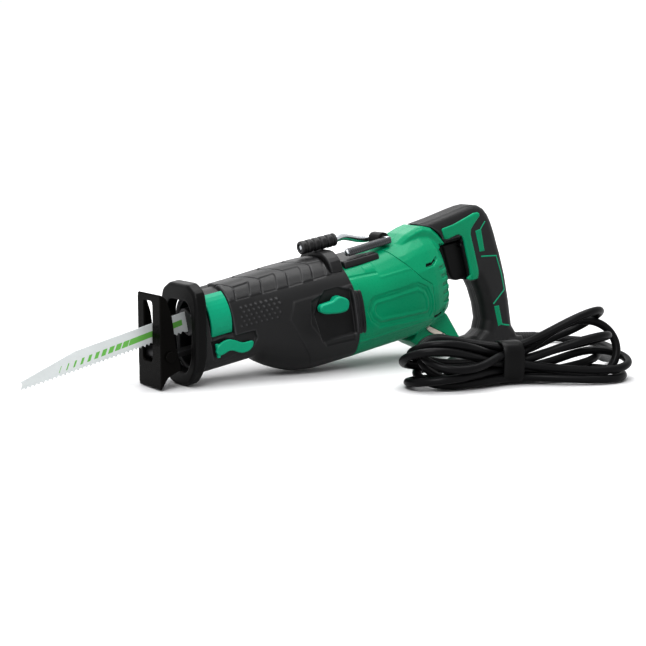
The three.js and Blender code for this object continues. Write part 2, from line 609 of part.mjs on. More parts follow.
const SURROUND = [
  [323.7, 32.1], [340.6, 34.4], [370.9, 40.6], [378, 39.5], [378.9, 35.9], [369.3, 28.2], [364, 24], [363, 17.8],
  [365.3, 2.2], [367.9, -19], [368.6, -30.6], [365.6, -33.8], [356.2, -32.3], [351.5, -28.8], [356.2, -25.4],
  [354.6, -5.3], [352.6, 13.3], [349.3, 20], [345.4, 22.6], [330.8, 20.1], [327.5, 20.6],
];
for (const [side, y0, y1] of [['left', -20.2, -18.3], ['right', 18.3, 20.2]]) {
  add(`trigger_surround_${side}`, slab(SURROUND, y0, y1, { fillet: 2, steps: 1, bevel: 0.5 }), GREEN);
}

add('trigger', cut(
  slab([[329.5, 13], [357, 13], [361.8, -31], [343, -30.4], [337.5, -27.5], [334.5, -19.5], [332.6, -7]], -8.8, 8.8,
    { fillet: 3, steps: 2, bevel: 1.6 }),
  yRod(2.2, -12, 12, ...TRIGGER_PIVOT, 12),
), BLACK_PLASTIC);
add('trigger_pin', yRod(1.9, -14.2, 14.2, ...TRIGGER_PIVOT, 12), BRIGHT);
add('switch_body', box(372.8, 391, -12, 12, -34, 4), BLACK_PLASTIC);

SHELL_SCREWS.forEach(([x, z], i) => add(`shell_screw_${i + 1}`, sideScrew(x, z, 17, 27), STEEL));

// ---- hanging hook: a barrel with a short grip arm on the left, and a long arm that ends in a rubber sleeve
const HOOK_AXIS = [252, 36.9];
const HOOK_ARM = 15;
const HOOK_RADIUS = 3.4;
add('hook_rest', cut(
  frontSlab([[-26, 20], [26, 20], [25, 28.5], [-25, 28.5]], 187, 232, { fillet: 3, bevel: 1, steps: 2 }),
  casing(184, 240, -GAP),
), BLACK_RUBBER);
add('hook_mount', cut(
  join(
    box(244.5, 262, -9, 9, 25, 33),
    yRod(7.5, -9, 9, ...HOOK_AXIS, 18),
  ),
  casing(240, 280, -GAP),
  slab(CREST, -25, 25).translate(-GAP, GAP, GAP),
  yRod(4.3, -12, 12, ...HOOK_AXIS, 14),
), BLACK_PLASTIC);
const [hookX, hookZ] = HOOK_AXIS;
const SHORT_ARM = [
  [hookX, -HOOK_ARM, hookZ], [240, -HOOK_ARM, 36], [215, -HOOK_ARM, 35.2], [197, -HOOK_ARM, 34.8],
];
const LONG_ARM = [
  [hookX, HOOK_ARM, hookZ], [243, HOOK_ARM, 37.4], [234, 14, 39.6], [222, 10, 44], [208, 3.5, 48.3], [197, 0, 49],
  [176, 0, 49.1], [152.5, 0, 49.3],
];
const SLEEVE_RADIUS = 6.9;
const SLEEVE = [[195.5, 0, 49], [176, 0, 49.1], [151.8, 0, 49.3]];
add('hook_wire', join(
  sweep(SHORT_ARM, HOOK_RADIUS, 10, 12),
  sweep(LONG_ARM, HOOK_RADIUS, 10, 32),
  yRod(4, -HOOK_ARM - 3, HOOK_ARM + 3, hookX, hookZ, 14),
), BRIGHT);
add('hook_sleeve', sweep(SLEEVE, SLEEVE_RADIUS, 14, 6, HOOK_RADIUS + 0.7), BLACK_RUBBER);

// ---- cord guard in the handle foot
add('cord_guard', join(
  rod(7.2, ...guardAxis(9, 20), 16),
  rod(7.2, ...guardAxis(19.9, 52), 16, 4.7),
), BLACK_RUBBER);

// ---- cord: a lead to the hank, the hank, its tie and the plug, drawn on the surface (z = 0)
const CORD_RADIUS = CORD_DIAMETER / 2;
const LEAD = [
  [471.7, 0, 9.4], [479, -0.4, 8.8], [488, -3.5, 6.9], [498, -9.5, 5.3], [508, -19, 4.4], [515, -32, 4.3],
  [517, -48, 4.3], [514, -65, 4.3], [507, -82, 4.3], [496, -99, 4.3], [482, -115, 4.3], [466, -131, 4.6],
  [448, -145, 5.8], [430, -157, 8], [413, -167, 11.5], [392.4, -178.9, 18.2],
];
add('cord_lead', sweep(LEAD, CORD_RADIUS, 8, 22), CORD, lead);

const HANK_CENTRE = [272, -177];
const HANK_TURN = THREE.MathUtils.degToRad(-17);
const WAIST = { half: 13.5, low: 3.2, high: 40.8, length: 28 };
// Along the hank: where, half its width, and its lowest and highest points.
const HANK = [
  [-114, 12, 14, 38], [-106, 21, 5, 46], [-84, 27, 0.4, 51], [-50, 27, 0.4, 51],
  [-WAIST.length / 2, WAIST.half, WAIST.low, WAIST.high], [WAIST.length / 2, WAIST.half, WAIST.low, WAIST.high],
  [50, 27, 0.4, 54], [92, 35, 0.4, 74], [118, 32, 0.4, 68], [134, 16, 14, 46],
];

function hankRing([s, half, low, high]) {
  const count = 16;
  const square = (v) => Math.sign(v) * Math.abs(v) ** 0.7;
  return Array.from({ length: count }, (_, i) => {
    const a = (2 * Math.PI * i) / count;
    const height = (low + high) / 2 + ((high - low) / 2) * square(Math.sin(a));
    return new THREE.Vector3(s, half * square(Math.cos(a)), height);
  });
}

const hank = new THREE.Group();
hank.position.set(...HANK_CENTRE, 0);
hank.rotation.z = HANK_TURN;
lead.add(hank);
add('cord_hank', loft(HANK.map(hankRing)), CORD, hank);

const STRAP = 2;
const strapRing = (x, grow) => hankRing([x, WAIST.half + grow, WAIST.low - grow, WAIST.high + grow]);
add('cord_tie', cut(
  loft([-11, 11].map((x) => strapRing(x, GAP + STRAP))),
  loft([-12, 12].map((x) => strapRing(x, GAP))),
), BLACK_PLASTIC, hank);

// The plug lies beside the hank's left lobe, its blades pointing along the hank towards the tie.
const PLUG = { rear: -60, face: -20, y: 39.1, z: 12.4, half: 12.5, tall: 11 };
const plugRing = (x, half, tall) => {
  const corners = [[half, -tall * 0.6], [half, tall * 0.6], [half * 0.7, tall], [-half * 0.7, tall],
    [-half, tall * 0.6], [-half, -tall * 0.6], [-half * 0.7, -tall], [half * 0.7, -tall]];
  return corners.map(([y, z]) => new THREE.Vector3(x, PLUG.y + y, PLUG.z + z));
};
add('plug_body', loft([
  plugRing(PLUG.rear, 5, 5), plugRing(PLUG.rear + 10, PLUG.half * 0.6, PLUG.tall * 0.7),
  plugRing(PLUG.face - 22, PLUG.half, PLUG.tall), plugRing(PLUG.face, PLUG.half, PLUG.tall),
]), BLACK_RUBBER, hank);
for (const [side, y] of [['left', -6.35], ['right', 6.35]]) {
  add(`plug_blade_${side}`, box(
    PLUG.face + GAP, PLUG.face + 17.5, PLUG.y + y - 0.75, PLUG.y + y + 0.75, PLUG.z - 3.2, PLUG.z + 3.2,
  ), BRASS, hank);
}

// ---- the origin: under the middle of the saw, on the surface it rests on
const model = new THREE.Group();
model.add(saw, lead);
model.updateMatrixWorld(true);
const reach = new THREE.Box3();
saw.traverse((piece) => {
  if (piece.isMesh && piece.name !== 'cord_guard') reach.expandByObject(piece, true);
});
model.position.set(-(reach.min.x + reach.max.x) / 2, -(reach.min.y + reach.max.y) / 2, -reach.min.z);
lead.position.z = reach.min.z;

const root = new THREE.Group();
root.add(model);
export default root;
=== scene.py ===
"""The looks of the corded reciprocating saw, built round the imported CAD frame."""
import json
import math

import bmesh
import bpy
import numpy as np
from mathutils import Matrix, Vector


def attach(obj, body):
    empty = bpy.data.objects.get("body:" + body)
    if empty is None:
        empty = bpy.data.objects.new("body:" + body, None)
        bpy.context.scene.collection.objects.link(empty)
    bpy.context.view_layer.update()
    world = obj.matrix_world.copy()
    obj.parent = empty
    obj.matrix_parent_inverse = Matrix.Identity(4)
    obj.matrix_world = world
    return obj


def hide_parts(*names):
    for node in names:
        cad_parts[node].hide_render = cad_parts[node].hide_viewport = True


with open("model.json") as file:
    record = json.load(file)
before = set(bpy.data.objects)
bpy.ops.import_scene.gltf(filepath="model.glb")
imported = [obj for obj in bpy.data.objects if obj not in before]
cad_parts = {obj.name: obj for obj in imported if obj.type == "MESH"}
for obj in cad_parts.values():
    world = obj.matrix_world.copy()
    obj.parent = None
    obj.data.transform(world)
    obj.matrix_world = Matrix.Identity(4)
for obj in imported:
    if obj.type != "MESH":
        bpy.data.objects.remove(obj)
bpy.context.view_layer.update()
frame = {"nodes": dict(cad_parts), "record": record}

# ---- frames of reference
# Shapes are worked out in millimetres in the saw's own frame (x along the plunger, z square to it) or in the
# hank's frame (s along the hank, w across it, h up), and turned into the part's frame in metres at the end.
PITCH = math.radians(10)
SLANT = math.tan(PITCH)
SAW_ORIGIN = np.array((-133.5918, 2.0, 53.4506))
SAW_TURN = np.array(((math.cos(PITCH), 0, math.sin(PITCH)), (0, 1, 0),
                     (-math.sin(PITCH), 0, math.cos(PITCH))))
HANK_ANGLE = math.radians(-17)
HANK_ORIGIN = np.array((138.4082, -175.0, 0.0))
HANK_TURN = np.array(((math.cos(HANK_ANGLE), math.sin(HANK_ANGLE), 0),
                      (-math.sin(HANK_ANGLE), math.cos(HANK_ANGLE), 0), (0, 0, 1)))
LEAD_ORIGIN = np.array((-133.5918, 2.0, 0.0))


def from_saw(points):
    return (np.asarray(points, float) @ SAW_TURN + SAW_ORIGIN) / 1000


def to_saw(points):
    return (np.asarray(points, float) * 1000 - SAW_ORIGIN) @ SAW_TURN.T


def from_hank(points):
    return (np.asarray(points, float) @ HANK_TURN + HANK_ORIGIN) / 1000


def from_lead(points):
    return (np.asarray(points, float) + LEAD_ORIGIN) / 1000


# ---- camera
scene = bpy.context.scene
LOOK_AT = Vector((0.03621, 0.002, 0.04805))
VIEW_FROM = Vector((-0.5538, -0.8210, 0.1392))
VIEW_DISTANCE = 1.4729
camera = bpy.data.objects.new("camera", bpy.data.cameras.new("camera"))
scene.collection.objects.link(camera)
camera.data.lens = 78.0
camera.data.sensor_width = 36.0
camera.location = LOOK_AT + VIEW_DISTANCE * VIEW_FROM
camera.rotation_euler = (LOOK_AT - camera.location).to_track_quat("-Z", "Y").to_euler()
scene.camera = camera


# ---- materials
def node(tree, kind, **values):
    made = tree.nodes.new(kind)
    for key, value in values.items():
        setattr(made, key, value)
    return made


def noise(tree, coord, scale, detail=3.0, roughness=0.5, stretch=None):
    if stretch:
        spread = node(tree, "ShaderNodeMapping")
        spread.inputs["Scale"].default_value = stretch
        tree.links.new(coord, spread.inputs["Vector"])
        coord = spread.outputs["Vector"]
    made = node(tree, "ShaderNodeTexNoise")
    made.inputs["Scale"].default_value = scale
    made.inputs["Detail"].default_value = detail
    made.inputs["Roughness"].default_value = roughness
    tree.links.new(coord, made.inputs["Vector"])
    return made.outputs["Fac"]


def spread(tree, value, low, high, to_low, to_high):
    made = node(tree, "ShaderNodeMapRange")
    for key, number in zip(("From Min", "From Max", "To Min", "To Max"), (low, high, to_low, to_high)):
        made.inputs[key].default_value = number
    tree.links.new(value, made.inputs["Value"])
    return made.outputs["Result"]


def mix(tree, factor, a, b):
    made = node(tree, "ShaderNodeMix", data_type="RGBA")
    tree.links.new(factor, made.inputs["Factor"])
    for socket, colour in ((made.inputs["A"], a), (made.inputs["B"], b)):
        if isinstance(colour, tuple):
            socket.default_value = (*colour, 1)
        else:
            tree.links.new(colour, socket)
    return made.outputs["Result"]


GRAIN_DEPTH = 0.0002


def finish(name, colour, rough, metal=0.0, grain=900.0, bump=0.1, vary=0.25, edge=0.0, wear_and_glint_colour=None,
           brushed=None, specular=0.5):
    """A surface with mottled colour, uneven gloss, a fine grain, and paler edges that are partly edge wear and
    partly painted highlight.
    """
    made = bpy.data.materials.new(name)
    made.use_nodes = True
    tree = made.node_tree
    shader = tree.nodes["Principled BSDF"]
    coord = node(tree, "ShaderNodeTexCoord").outputs["Object"]
    broad = noise(tree, coord, 22, 4)
    fine = noise(tree, coord, grain, 2, 0.6, brushed)
    dark = tuple(c * (1 - vary) for c in colour)
    light = tuple(min(1.0, c * (1 + vary)) for c in colour)
    shade = mix(tree, spread(tree, broad, 0.3, 0.7, 0, 1), dark, light)
    speck = spread(tree, fine, 0.35, 0.65, 0, 0.35)
    shade = mix(tree, speck, shade, light)
    # Paler colour on sharp edges found by pointiness: edge wear, and painted highlight standing in for glints along
    # the edges.
    if edge:
        point = node(tree, "ShaderNodeNewGeometry").outputs["Pointiness"]
        wear_and_glint = spread(tree, point, 0.51, 0.60, 0, edge)
        shade = mix(tree, wear_and_glint, shade, wear_and_glint_colour or tuple(min(1.0, c * 2 + 0.02) for c in colour))
    tree.links.new(shade, shader.inputs["Base Color"])
    gloss = spread(tree, fine, 0.3, 0.7, rough * 0.85, min(1.0, rough * 1.2))
    tree.links.new(gloss, shader.inputs["Roughness"])
    relief = node(tree, "ShaderNodeBump")
    relief.inputs["Strength"].default_value = bump
    relief.inputs["Distance"].default_value = GRAIN_DEPTH
    tree.links.new(fine, relief.inputs["Height"])
    tree.links.new(relief.outputs["Normal"], shader.inputs["Normal"])
    shader.inputs["Metallic"].default_value = metal
    shader.inputs["Specular IOR Level"].default_value = specular
    return made


FINISHES = {name: finish(name, colour, rough, **rest) for name, colour, rough, rest in (
    # Black rubber's paler edges are painted highlight, glints along the cover blocks' edges, together with some
    # edge wear.
    ("black_rubber", (0.0065, 0.0065, 0.007), 0.42,
     dict(grain=1400, bump=0.35, vary=0.12, edge=0.7, wear_and_glint_colour=(0.09, 0.09, 0.096), specular=0.33)),
    ("black_plastic", (0.004, 0.004, 0.0042), 0.38,
     dict(grain=1100, bump=0.18, vary=0.18, edge=0.3, specular=0.14)),
    ("green_plastic", (0.0, 0.188, 0.094), 0.3,
     dict(grain=700, bump=0.05, vary=0.07, edge=0.35, wear_and_glint_colour=(0.01, 0.33, 0.19), specular=0.16)),
    ("black_paint", (0.003, 0.0027, 0.0024), 0.24,
     dict(grain=420, bump=0.05, vary=0.2, edge=0.3, wear_and_glint_colour=(0.03, 0.03, 0.03), specular=0.035)),
    ("steel", (0.3, 0.31, 0.32), 0.34, dict(metal=1, grain=500, bump=0.12, vary=0.12, brushed=(1, 12, 12))),
    ("bright_steel", (0.55, 0.57, 0.59), 0.27,
     dict(metal=1, grain=420, bump=0.1, vary=0.08, brushed=(1, 10, 10))),
    ("alloy", (0.44, 0.45, 0.46), 0.5, dict(metal=1, grain=600, bump=0.4, vary=0.12)),
    ("iron", (0.15, 0.15, 0.16), 0.5, dict(metal=1, grain=500, bump=0.3, vary=0.2, brushed=(20, 1, 1))),
    ("brass", (0.6, 0.42, 0.16), 0.3, dict(metal=1, grain=520, bump=0.1, vary=0.12)),
    ("copper", (0.5, 0.2, 0.1), 0.34, dict(metal=1, grain=520, bump=0.15, vary=0.15)),
    ("carbon", (0.02, 0.02, 0.02), 0.7, dict(grain=900, bump=0.3, vary=0.2)),
    ("grey_plastic", (0.48, 0.43, 0.38), 0.38, dict(grain=900, bump=0.1, vary=0.05, edge=0.2)),
    ("cord_jacket", (0.004, 0.004, 0.0045), 0.36, dict(grain=1500, bump=0.12, vary=0.15, specular=0.13)),
)}


# ---- mesh tools
def new_object(name, points, faces):
    """A smooth-shaded closed mesh from points in metres, with its faces turned outward."""
    mesh = bpy.data.meshes.new(name)
    mesh.from_pydata([tuple(p) for p in points], [], [tuple(f) for f in faces])
    made = bpy.data.objects.new(name, mesh)
    scene.collection.objects.link(made)
    work = bmesh.new()
    work.from_mesh(mesh)
    bmesh.ops.recalc_face_normals(work, faces=work.faces)
    work.to_mesh(mesh)
    work.free()
    shade_smooth(mesh)
    return made


def shade_smooth(mesh):
    mesh.polygons.foreach_set("use_smooth", np.ones(len(mesh.polygons), bool))
    mesh.update()


def corners(mesh):
    flat = np.empty(len(mesh.vertices) * 3)
    mesh.vertices.foreach_get("co", flat)
    return flat.reshape(-1, 3)


def set_corners(mesh, points):
    mesh.vertices.foreach_set("co", np.ascontiguousarray(points, float).ravel())
    mesh.update()


def normals(mesh):
    flat = np.empty(len(mesh.vertices) * 3)
    mesh.vertex_normals.foreach_get("vector", flat)
    return flat.reshape(-1, 3)


def edges(mesh):
    flat = np.empty(len(mesh.edges) * 2, int)
    mesh.edges.foreach_get("vertices", flat)
    return flat.reshape(-1, 2)


def ring_faces(rows, count, closed):
    """Quads over rows of points; closed joins the last row to the first, otherwise the ends are capped."""
    index = np.arange(rows * count).reshape(rows, count)
    below = index if closed else index[:-1]
    above = np.roll(index, -1, axis=0) if closed else index[1:]
    quads = np.stack([below, np.roll(below, -1, axis=1), np.roll(above, -1, axis=1), above], -1)
    faces = [tuple(q) for q in quads.reshape(-1, 4).tolist()]
    if not closed:
        faces += [tuple(index[0].tolist()), tuple(index[-1].tolist())]
    return faces


def loft(name, rows, place, closed=False):
    rows = np.asarray(rows, float)
    points = place(rows.reshape(-1, 3))
    return new_object(name, points, ring_faces(rows.shape[0], rows.shape[1], closed))


def applied(made):
    """Puts the modifiers of an object into its mesh."""
    bpy.context.view_layer.update()
    seen = made.evaluated_get(bpy.context.evaluated_depsgraph_get())
    mesh = bpy.data.meshes.new_from_object(seen)
    made.modifiers.clear()
    made.data = mesh
    return made


def remeshed(name, sources, voxel, rounds, prepare=None):
    """Copies CAD nodes into one evenly meshed body with softened edges. Sizes are in millimetres."""
    work = bmesh.new()
    for source in sources:
        work.from_mesh(frame["nodes"][source].data)
    mesh = bpy.data.meshes.new(name)
    work.to_mesh(mesh)
    work.free()
    made = bpy.data.objects.new(name, mesh)
    scene.collection.objects.link(made)
    if prepare:
        set_corners(mesh, from_saw(prepare(to_saw(corners(mesh)))))
    modifier = made.modifiers.new("even", "REMESH")
    modifier.mode = "VOXEL"
    modifier.voxel_size = voxel / 1000
    applied(made)
    soften(made.data, rounds)
    shade_smooth(made.data)
    return made


def soften(mesh, rounds):
    """Rounds edges without shrinking the body."""
    points, pairs = corners(mesh), edges(mesh)
    a, b = pairs.T
    count = len(points)
    degree = np.maximum(np.bincount(pairs.ravel(), minlength=count), 1)[:, None]
    for step in (0.5, -0.52) * rounds:
        total = np.stack([np.bincount(a, points[b, k], count) + np.bincount(b, points[a, k], count)
                          for k in range(3)], 1)
        points += step * (total / degree - points)
    set_corners(mesh, points)


def press(made, depth):
    """Moves each point along its normal by depth(points, normals) in millimetres, both in the saw's frame."""
    mesh = made.data
    mesh.update()
    along = normals(mesh)
    points = corners(mesh)
    amount = depth(to_saw(points), along @ SAW_TURN.T)
    set_corners(mesh, points + along * amount[:, None] / 1000)
    return made


SEAM_GAP = 0.3


def split_at_seam(made, left, right):
    """Cuts a body in two closed halves either side of the saw's middle plane."""
    halves = []
    for name, side in ((left, -1), (right, 1)):
        work = bmesh.new()
        work.from_mesh(made.data)
        at = from_saw([(300, side * SEAM_GAP / 2, 0)])[0]
        cut = bmesh.ops.bisect_plane(work, geom=work.verts[:] + work.edges[:] + work.faces[:], plane_co=at,
                                     plane_no=(0, -side, 0), clear_outer=True)
        rim = [e for e in cut["geom_cut"] if isinstance(e, bmesh.types.BMEdge)]
        filled = bmesh.ops.triangle_fill(work, edges=rim, use_beauty=True)
        bmesh.ops.recalc_face_normals(work, faces=work.faces)
        mesh = bpy.data.meshes.new(name)
        for face in work.faces:
            face.smooth = True
        for face in filled["geom"]:
            if isinstance(face, bmesh.types.BMFace):
                face.smooth = False
        for edge in rim:
            if edge.is_valid:
                edge.smooth = False
        work.to_mesh(mesh)
        work.free()
        half = bpy.data.objects.new(name, mesh)
        scene.collection.objects.link(half)
        halves.append(half)
    bpy.data.objects.remove(made)
    return halves


LEVER_GREEN = finish("lever_green", (0.0, 0.215, 0.125), 0.32, grain=700, bump=0.05, vary=0.05, edge=0.35,
                     wear_and_glint_colour=(0.01, 0.36, 0.22), specular=0.2)
DARK_STEEL = finish("dark_steel", (0.05, 0.05, 0.052), 0.38, metal=0.9, grain=500, bump=0.15, vary=0.2,
                    brushed=(1, 12, 12))
# The knurled pad's pale edges are painted highlight on its ridges, together with edge wear.
KNURLED = finish("knurled_grey", (0.04, 0.041, 0.044), 0.42, metal=0.5, grain=1800, bump=0.5, vary=0.4,
                 edge=0.8, wear_and_glint_colour=(0.35, 0.36, 0.38), specular=0.4)


def put(made, slot, body, *replaced, look=None):
    made.data.materials.clear()
    made.data.materials.append(look or FINISHES[slot])
    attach(made, body)
    if replaced:
        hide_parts(*replaced)
    return made


def step(value, low, high):
    t = np.clip((value - low) / (high - low), 0, 1)
    return t * t * (3 - 2 * t)


def bump_at(value, centre, half, soft=0.6):
    """1 within half of the centre, falling to 0 over soft."""
    return 1 - step(np.abs(value - centre), half, half + soft)


def outline_distance(points, x, z, closed=True):
    """Signed distance in mm from an outline in x and z, positive inside; plain distance when it is open."""
    points = np.asarray(points, float)
    ends = np.roll(points, -1, axis=0) if closed else points[1:]
    starts = points if closed else points[:-1]
    nearest = np.full(x.shape, 1e9)
    inside = np.zeros(x.shape, bool)
    for (ax, az), (bx, bz) in zip(starts, ends):
        dx, dz = bx - ax, bz - az
        t = np.clip(((x - ax) * dx + (z - az) * dz) / (dx * dx + dz * dz), 0, 1)
        nearest = np.minimum(nearest, np.hypot(x - ax - t * dx, z - az - t * dz))
        if closed and az != bz:
            inside ^= ((az > z) != (bz > z)) & (x < ax + (z - az) * dx / (bz - az))
    return np.where(inside, nearest, -nearest) if closed else nearest


def curve_through(points, per_span):
    """A centripetal Catmull-Rom line through the points."""
    points = np.asarray(points, float)
    padded = np.vstack([2 * points[0] - points[1], points, 2 * points[-1] - points[-2]])
    line = []
    for i in range(1, len(padded) - 2):
        p = padded[i - 1:i + 3]
        knots = np.concatenate([[0], np.cumsum(np.linalg.norm(np.diff(p, axis=0), axis=1) ** 0.5 + 1e-9)])
        for t in np.linspace(knots[1], knots[2], per_span, endpoint=False):
            def between(start, end, low, high):
                return ((high - t) * start + (t - low) * end) / (high - low)

            a = [between(p[k], p[k + 1], knots[k], knots[k + 1]) for k in range(3)]
            b = [between(a[k], a[k + 1], knots[k], knots[k + 2]) for k in range(2)]
            line.append(between(b[0], b[1], knots[1], knots[2]))
    return np.array(line + [points[-1]])


def evenly(line, spacing):
    run = np.concatenate([[0], np.cumsum(np.linalg.norm(np.diff(line, axis=0), axis=1))])
    count = max(2, round(run[-1] / spacing) + 1)
    at = np.linspace(0, run[-1], count)
    return np.stack([np.interp(at, run, line[:, k]) for k in range(3)], 1)


def tube_rows(line, radii, sides, up=(0, 0, 1)):
    """Rings of a tube along a line, one radius or an array of radii (rings, sides)."""
    along = np.gradient(line, axis=0)
    along /= np.linalg.norm(along, axis=1)[:, None]
    across = np.cross(np.asarray(up, float), along[0])
    across /= np.linalg.norm(across)
    rows = []
    turn = np.linspace(0, 2 * math.pi, sides, endpoint=False)
    for i, (centre, direction) in enumerate(zip(line, along)):
        across = across - direction * (across @ direction)
        across /= np.linalg.norm(across)
        other = np.cross(direction, across)
        radius = np.broadcast_to(radii[i], turn.shape)[:, None]
        rows.append(centre + radius * (np.cos(turn)[:, None] * across + np.sin(turn)[:, None] * other))
    return np.array(rows)


# ---- the cord
CORD_DIAMETER = 8.2
CORD_RADIUS = CORD_DIAMETER / 2
LEAD = [
    (471.7, 0, 9.4), (479, -0.4, 8.8), (488, -3.5, 6.9), (498, -9.5, 5.3), (508, -19, 4.4), (515, -32, 4.3),
    (517, -48, 4.3), (514, -65, 4.3), (507, -82, 4.3), (496, -99, 4.3), (482, -115, 4.3), (466, -131, 4.6),
    (448, -145, 5.8), (430, -157, 8), (413, -167, 11.5), (392.4, -178.9, 18.2),
]
FOLD_RADIUS = 26.5
TIE_HALF = 12.0
SPACING = 5.0
# Where each run passes through the tie, across and up.
TIE_PLACES = {
    "a": (-8.4, 7.5), "b": (0, 7.5), "c": (8.4, 7.5), "d": (-4.2, 14.7), "e": (4.2, 14.7), "f": (-8.4, 21.9),
    "g": (0, 21.9), "h": (8.4, 21.9), "i": (-4.2, 29.1), "j": (4.2, 29.1), "k": (0, 36.3),
}
# From place, to place, reach along the hank, the fold's centre across and up, the first run's lean.
LOOPS = [
    ("b", "e", -90, 6, 28, -130), ("e", "f", 131, 0, 18.5, 12), ("f", "g", -110, -2, 27, 150),
    ("g", "h", 108, 4, 41, 162), ("h", "j", -103, 3, 31, -40), ("j", "k", 103, 6, 61, -31),
    ("k", "i", -95, -2, 36, 25), ("i", "d", 120, -3, 31, 72), ("d", "c", -106, -3, 5, 176),
    ("c", "a", 123, -2, 5.5, 2),
]


def hank_loop(start, end, reach, across, up, lean):
    """One loop of the hank: out from the tie, round a fold, and back."""
    side, reach = math.copysign(1, reach), abs(reach)
    lean = np.array((math.cos(math.radians(lean)), math.sin(math.radians(lean))))
    start, end, fold = np.array(TIE_PLACES[start]), np.array(TIE_PLACES[end]), np.array((across, up))
    middle, centre = (start + end) / 2, reach - FOLD_RADIUS
    flare = 0.8 * math.asin(min(0.9, (FOLD_RADIUS - 4) / math.hypot(centre - TIE_HALF, 1)))

    def run(place, sign):
        line = []
        far = (centre - FOLD_RADIUS * math.sin(flare), FOLD_RADIUS * math.cos(flare))
        pull = 0.9 * (far[0] - TIE_HALF)
        for t in np.linspace(0, 1, 9)[:-1]:
            leave, meet = 2 * t**3 - 3 * t**2 + 1, 3 * t**2 - 2 * t**3
            leave_slope, meet_slope = t**3 - 2 * t**2 + t, t**3 - t**2
            s = leave * TIE_HALF + leave_slope * pull + meet * far[0] + meet_slope * pull * math.cos(flare)
            out = meet * far[1] + meet_slope * pull * math.sin(flare)
            ease = t * t * (3 - 2 * t)
            offset = (place - middle) * (1 - ease) + sign * lean * out + middle + (fold - middle) * ease
            line.append((side * s, *offset))
        return line

    arc = [(side * (centre + FOLD_RADIUS * math.cos(q)), *(fold - lean * FOLD_RADIUS * math.sin(q)))
           for q in np.linspace(-math.pi / 2 - flare, math.pi / 2 + flare, 13)]
    return run(start, 1) + arc + run(end, -1)[::-1]


def settled(line, rounds=900):
    """Lets stiffness and contact with itself, the tie and the surface settle the drawn line."""
    start = evenly(curve_through(line, 8), SPACING)
    points = start.copy()
    count = len(points)
    length = np.linalg.norm(np.diff(points, axis=0), axis=1).mean()
    free = np.ones((count, 1))
    free[:3] = free[-3:] = 0
    tied = np.where((np.abs(points[:, 0]) < TIE_HALF) & (np.abs(points[:, 1]) < 12))[0]
    places = np.array(list(TIE_PLACES.values()))
    nearest = np.linalg.norm(points[tied, None, 1:] - places[None], axis=2).argmin(1)
    goal = places[nearest]
    hold = np.where(np.abs(points[tied, 0]) < 4, 0.5, 0.08)[:, None]
    first, second = np.triu_indices(count, 6)
    for turn in range(rounds):
        if turn % 8 == 0:
            close = np.linalg.norm(points[first] - points[second], axis=1) < CORD_DIAMETER + 8
            i, j = first[close], second[close]
        apart = points[j] - points[i]
        gap = np.linalg.norm(apart, axis=1) + 1e-9
        push = np.clip(CORD_DIAMETER + 0.3 - gap, 0, None)
        touching = push > 0
        if touching.any():
            shove = apart[touching] / gap[touching, None] * (push[touching] * 0.5)[:, None]
            moved, hits = np.zeros_like(points), np.zeros(count)
            np.add.at(moved, i[touching], -shove)
            np.add.at(moved, j[touching], shove)
            np.add.at(hits, i[touching], 1)
            np.add.at(hits, j[touching], 1)
            points += moved / np.sqrt(np.maximum(hits, 1))[:, None] * free
        for k, weight in ((1, 0.15), (2, 0.15), (4, 0.12), (7, 0.06)):
            if k < 3 or turn < rounds * 0.93:
                bend = np.zeros_like(points)
                bend[k:-k] = (points[2 * k:] + points[:-2 * k]) / 2 - points[k:-k]
                ease = np.zeros_like(points)
                ease[k:-k] = bend[k:-k] - (bend[2 * k:] + bend[:-2 * k]) / 2
                points += weight * ease * free
        for k in (3, 5):
            chord = points[2 * k:] - points[:-2 * k]
            size = np.linalg.norm(chord, axis=1) + 1e-9
            short = np.clip(2 * FOLD_RADIUS * math.sin(k * length / FOLD_RADIUS) - size, 0, None)
            spreads = chord / size[:, None] * (short * 0.25)[:, None]
            points[2 * k:] += spreads * free[2 * k:]
            points[:-2 * k] -= spreads * free[:-2 * k]
        points += 0.004 * (start - points) * free
        for _ in range(3):
            for offset in (0, 1):
                a, b = points[offset:-1:2], points[offset + 1::2]
                size = min(len(a), len(b))
                a, b = a[:size], b[:size]
                span = b - a
                long = np.linalg.norm(span, axis=1) + 1e-9
                fix = span / long[:, None] * ((long - length) * 0.5)[:, None]
                a += fix * free[offset:-1:2][:size]
                b -= fix * free[offset + 1::2][:size]
        points[tied, 1:] += (goal - points[tied, 1:]) * hold
        points[:, 2] = np.maximum(points[:, 2], CORD_RADIUS + 0.2)
        points[:3], points[-3:] = start[:3], start[-3:]
    return points


PLUG = {"y": 39.1, "z": 12.4}
U_TURN = [(-72 - 25.6 * math.cos(q), 13.5 + 25.6 * math.sin(q), 12.8) for q in np.radians(range(-90, 91, 20))]
HANK_LINE = ([(115.7, 33.4, 18.2), (98, 16, 13.5), (75, 6, 9.5), (45, 1, 7.5), (13, 0, 7.5)]
             + [p for loop in LOOPS for p in hank_loop(*loop)]
             + [(-40, -9.5, 10), (-58, -12, 12.6)] + U_TURN + [(s, PLUG["y"], PLUG["z"]) for s in (-66, -60)])
hank_route = from_hank(settled(HANK_LINE))
lead_route = from_lead(evenly(curve_through(LEAD, 8), SPACING))
route = np.vstack([lead_route[:-1], hank_route])


def cord_curve(name, line, radius):
    data = bpy.data.curves.new(name, "CURVE")
    data.dimensions = "3D"
    data.bevel_depth = radius
    data.bevel_resolution = 6
    data.use_fill_caps = True
    spline = data.splines.new("NURBS")
    spline.points.add(len(line) - 1)
    spline.points.foreach_set("co", np.hstack([line, np.ones((len(line), 1))]).ravel())
    spline.use_endpoint_u = True
    spline.order_u = 4
    spline.resolution_u = 3
    made = bpy.data.objects.new(name, data)
    scene.collection.objects.link(made)
    return made


cord = cord_curve("cord", route, CORD_RADIUS / 1000)
put(cord, "cord_jacket", "housing", "cord_lead", "cord_hank")

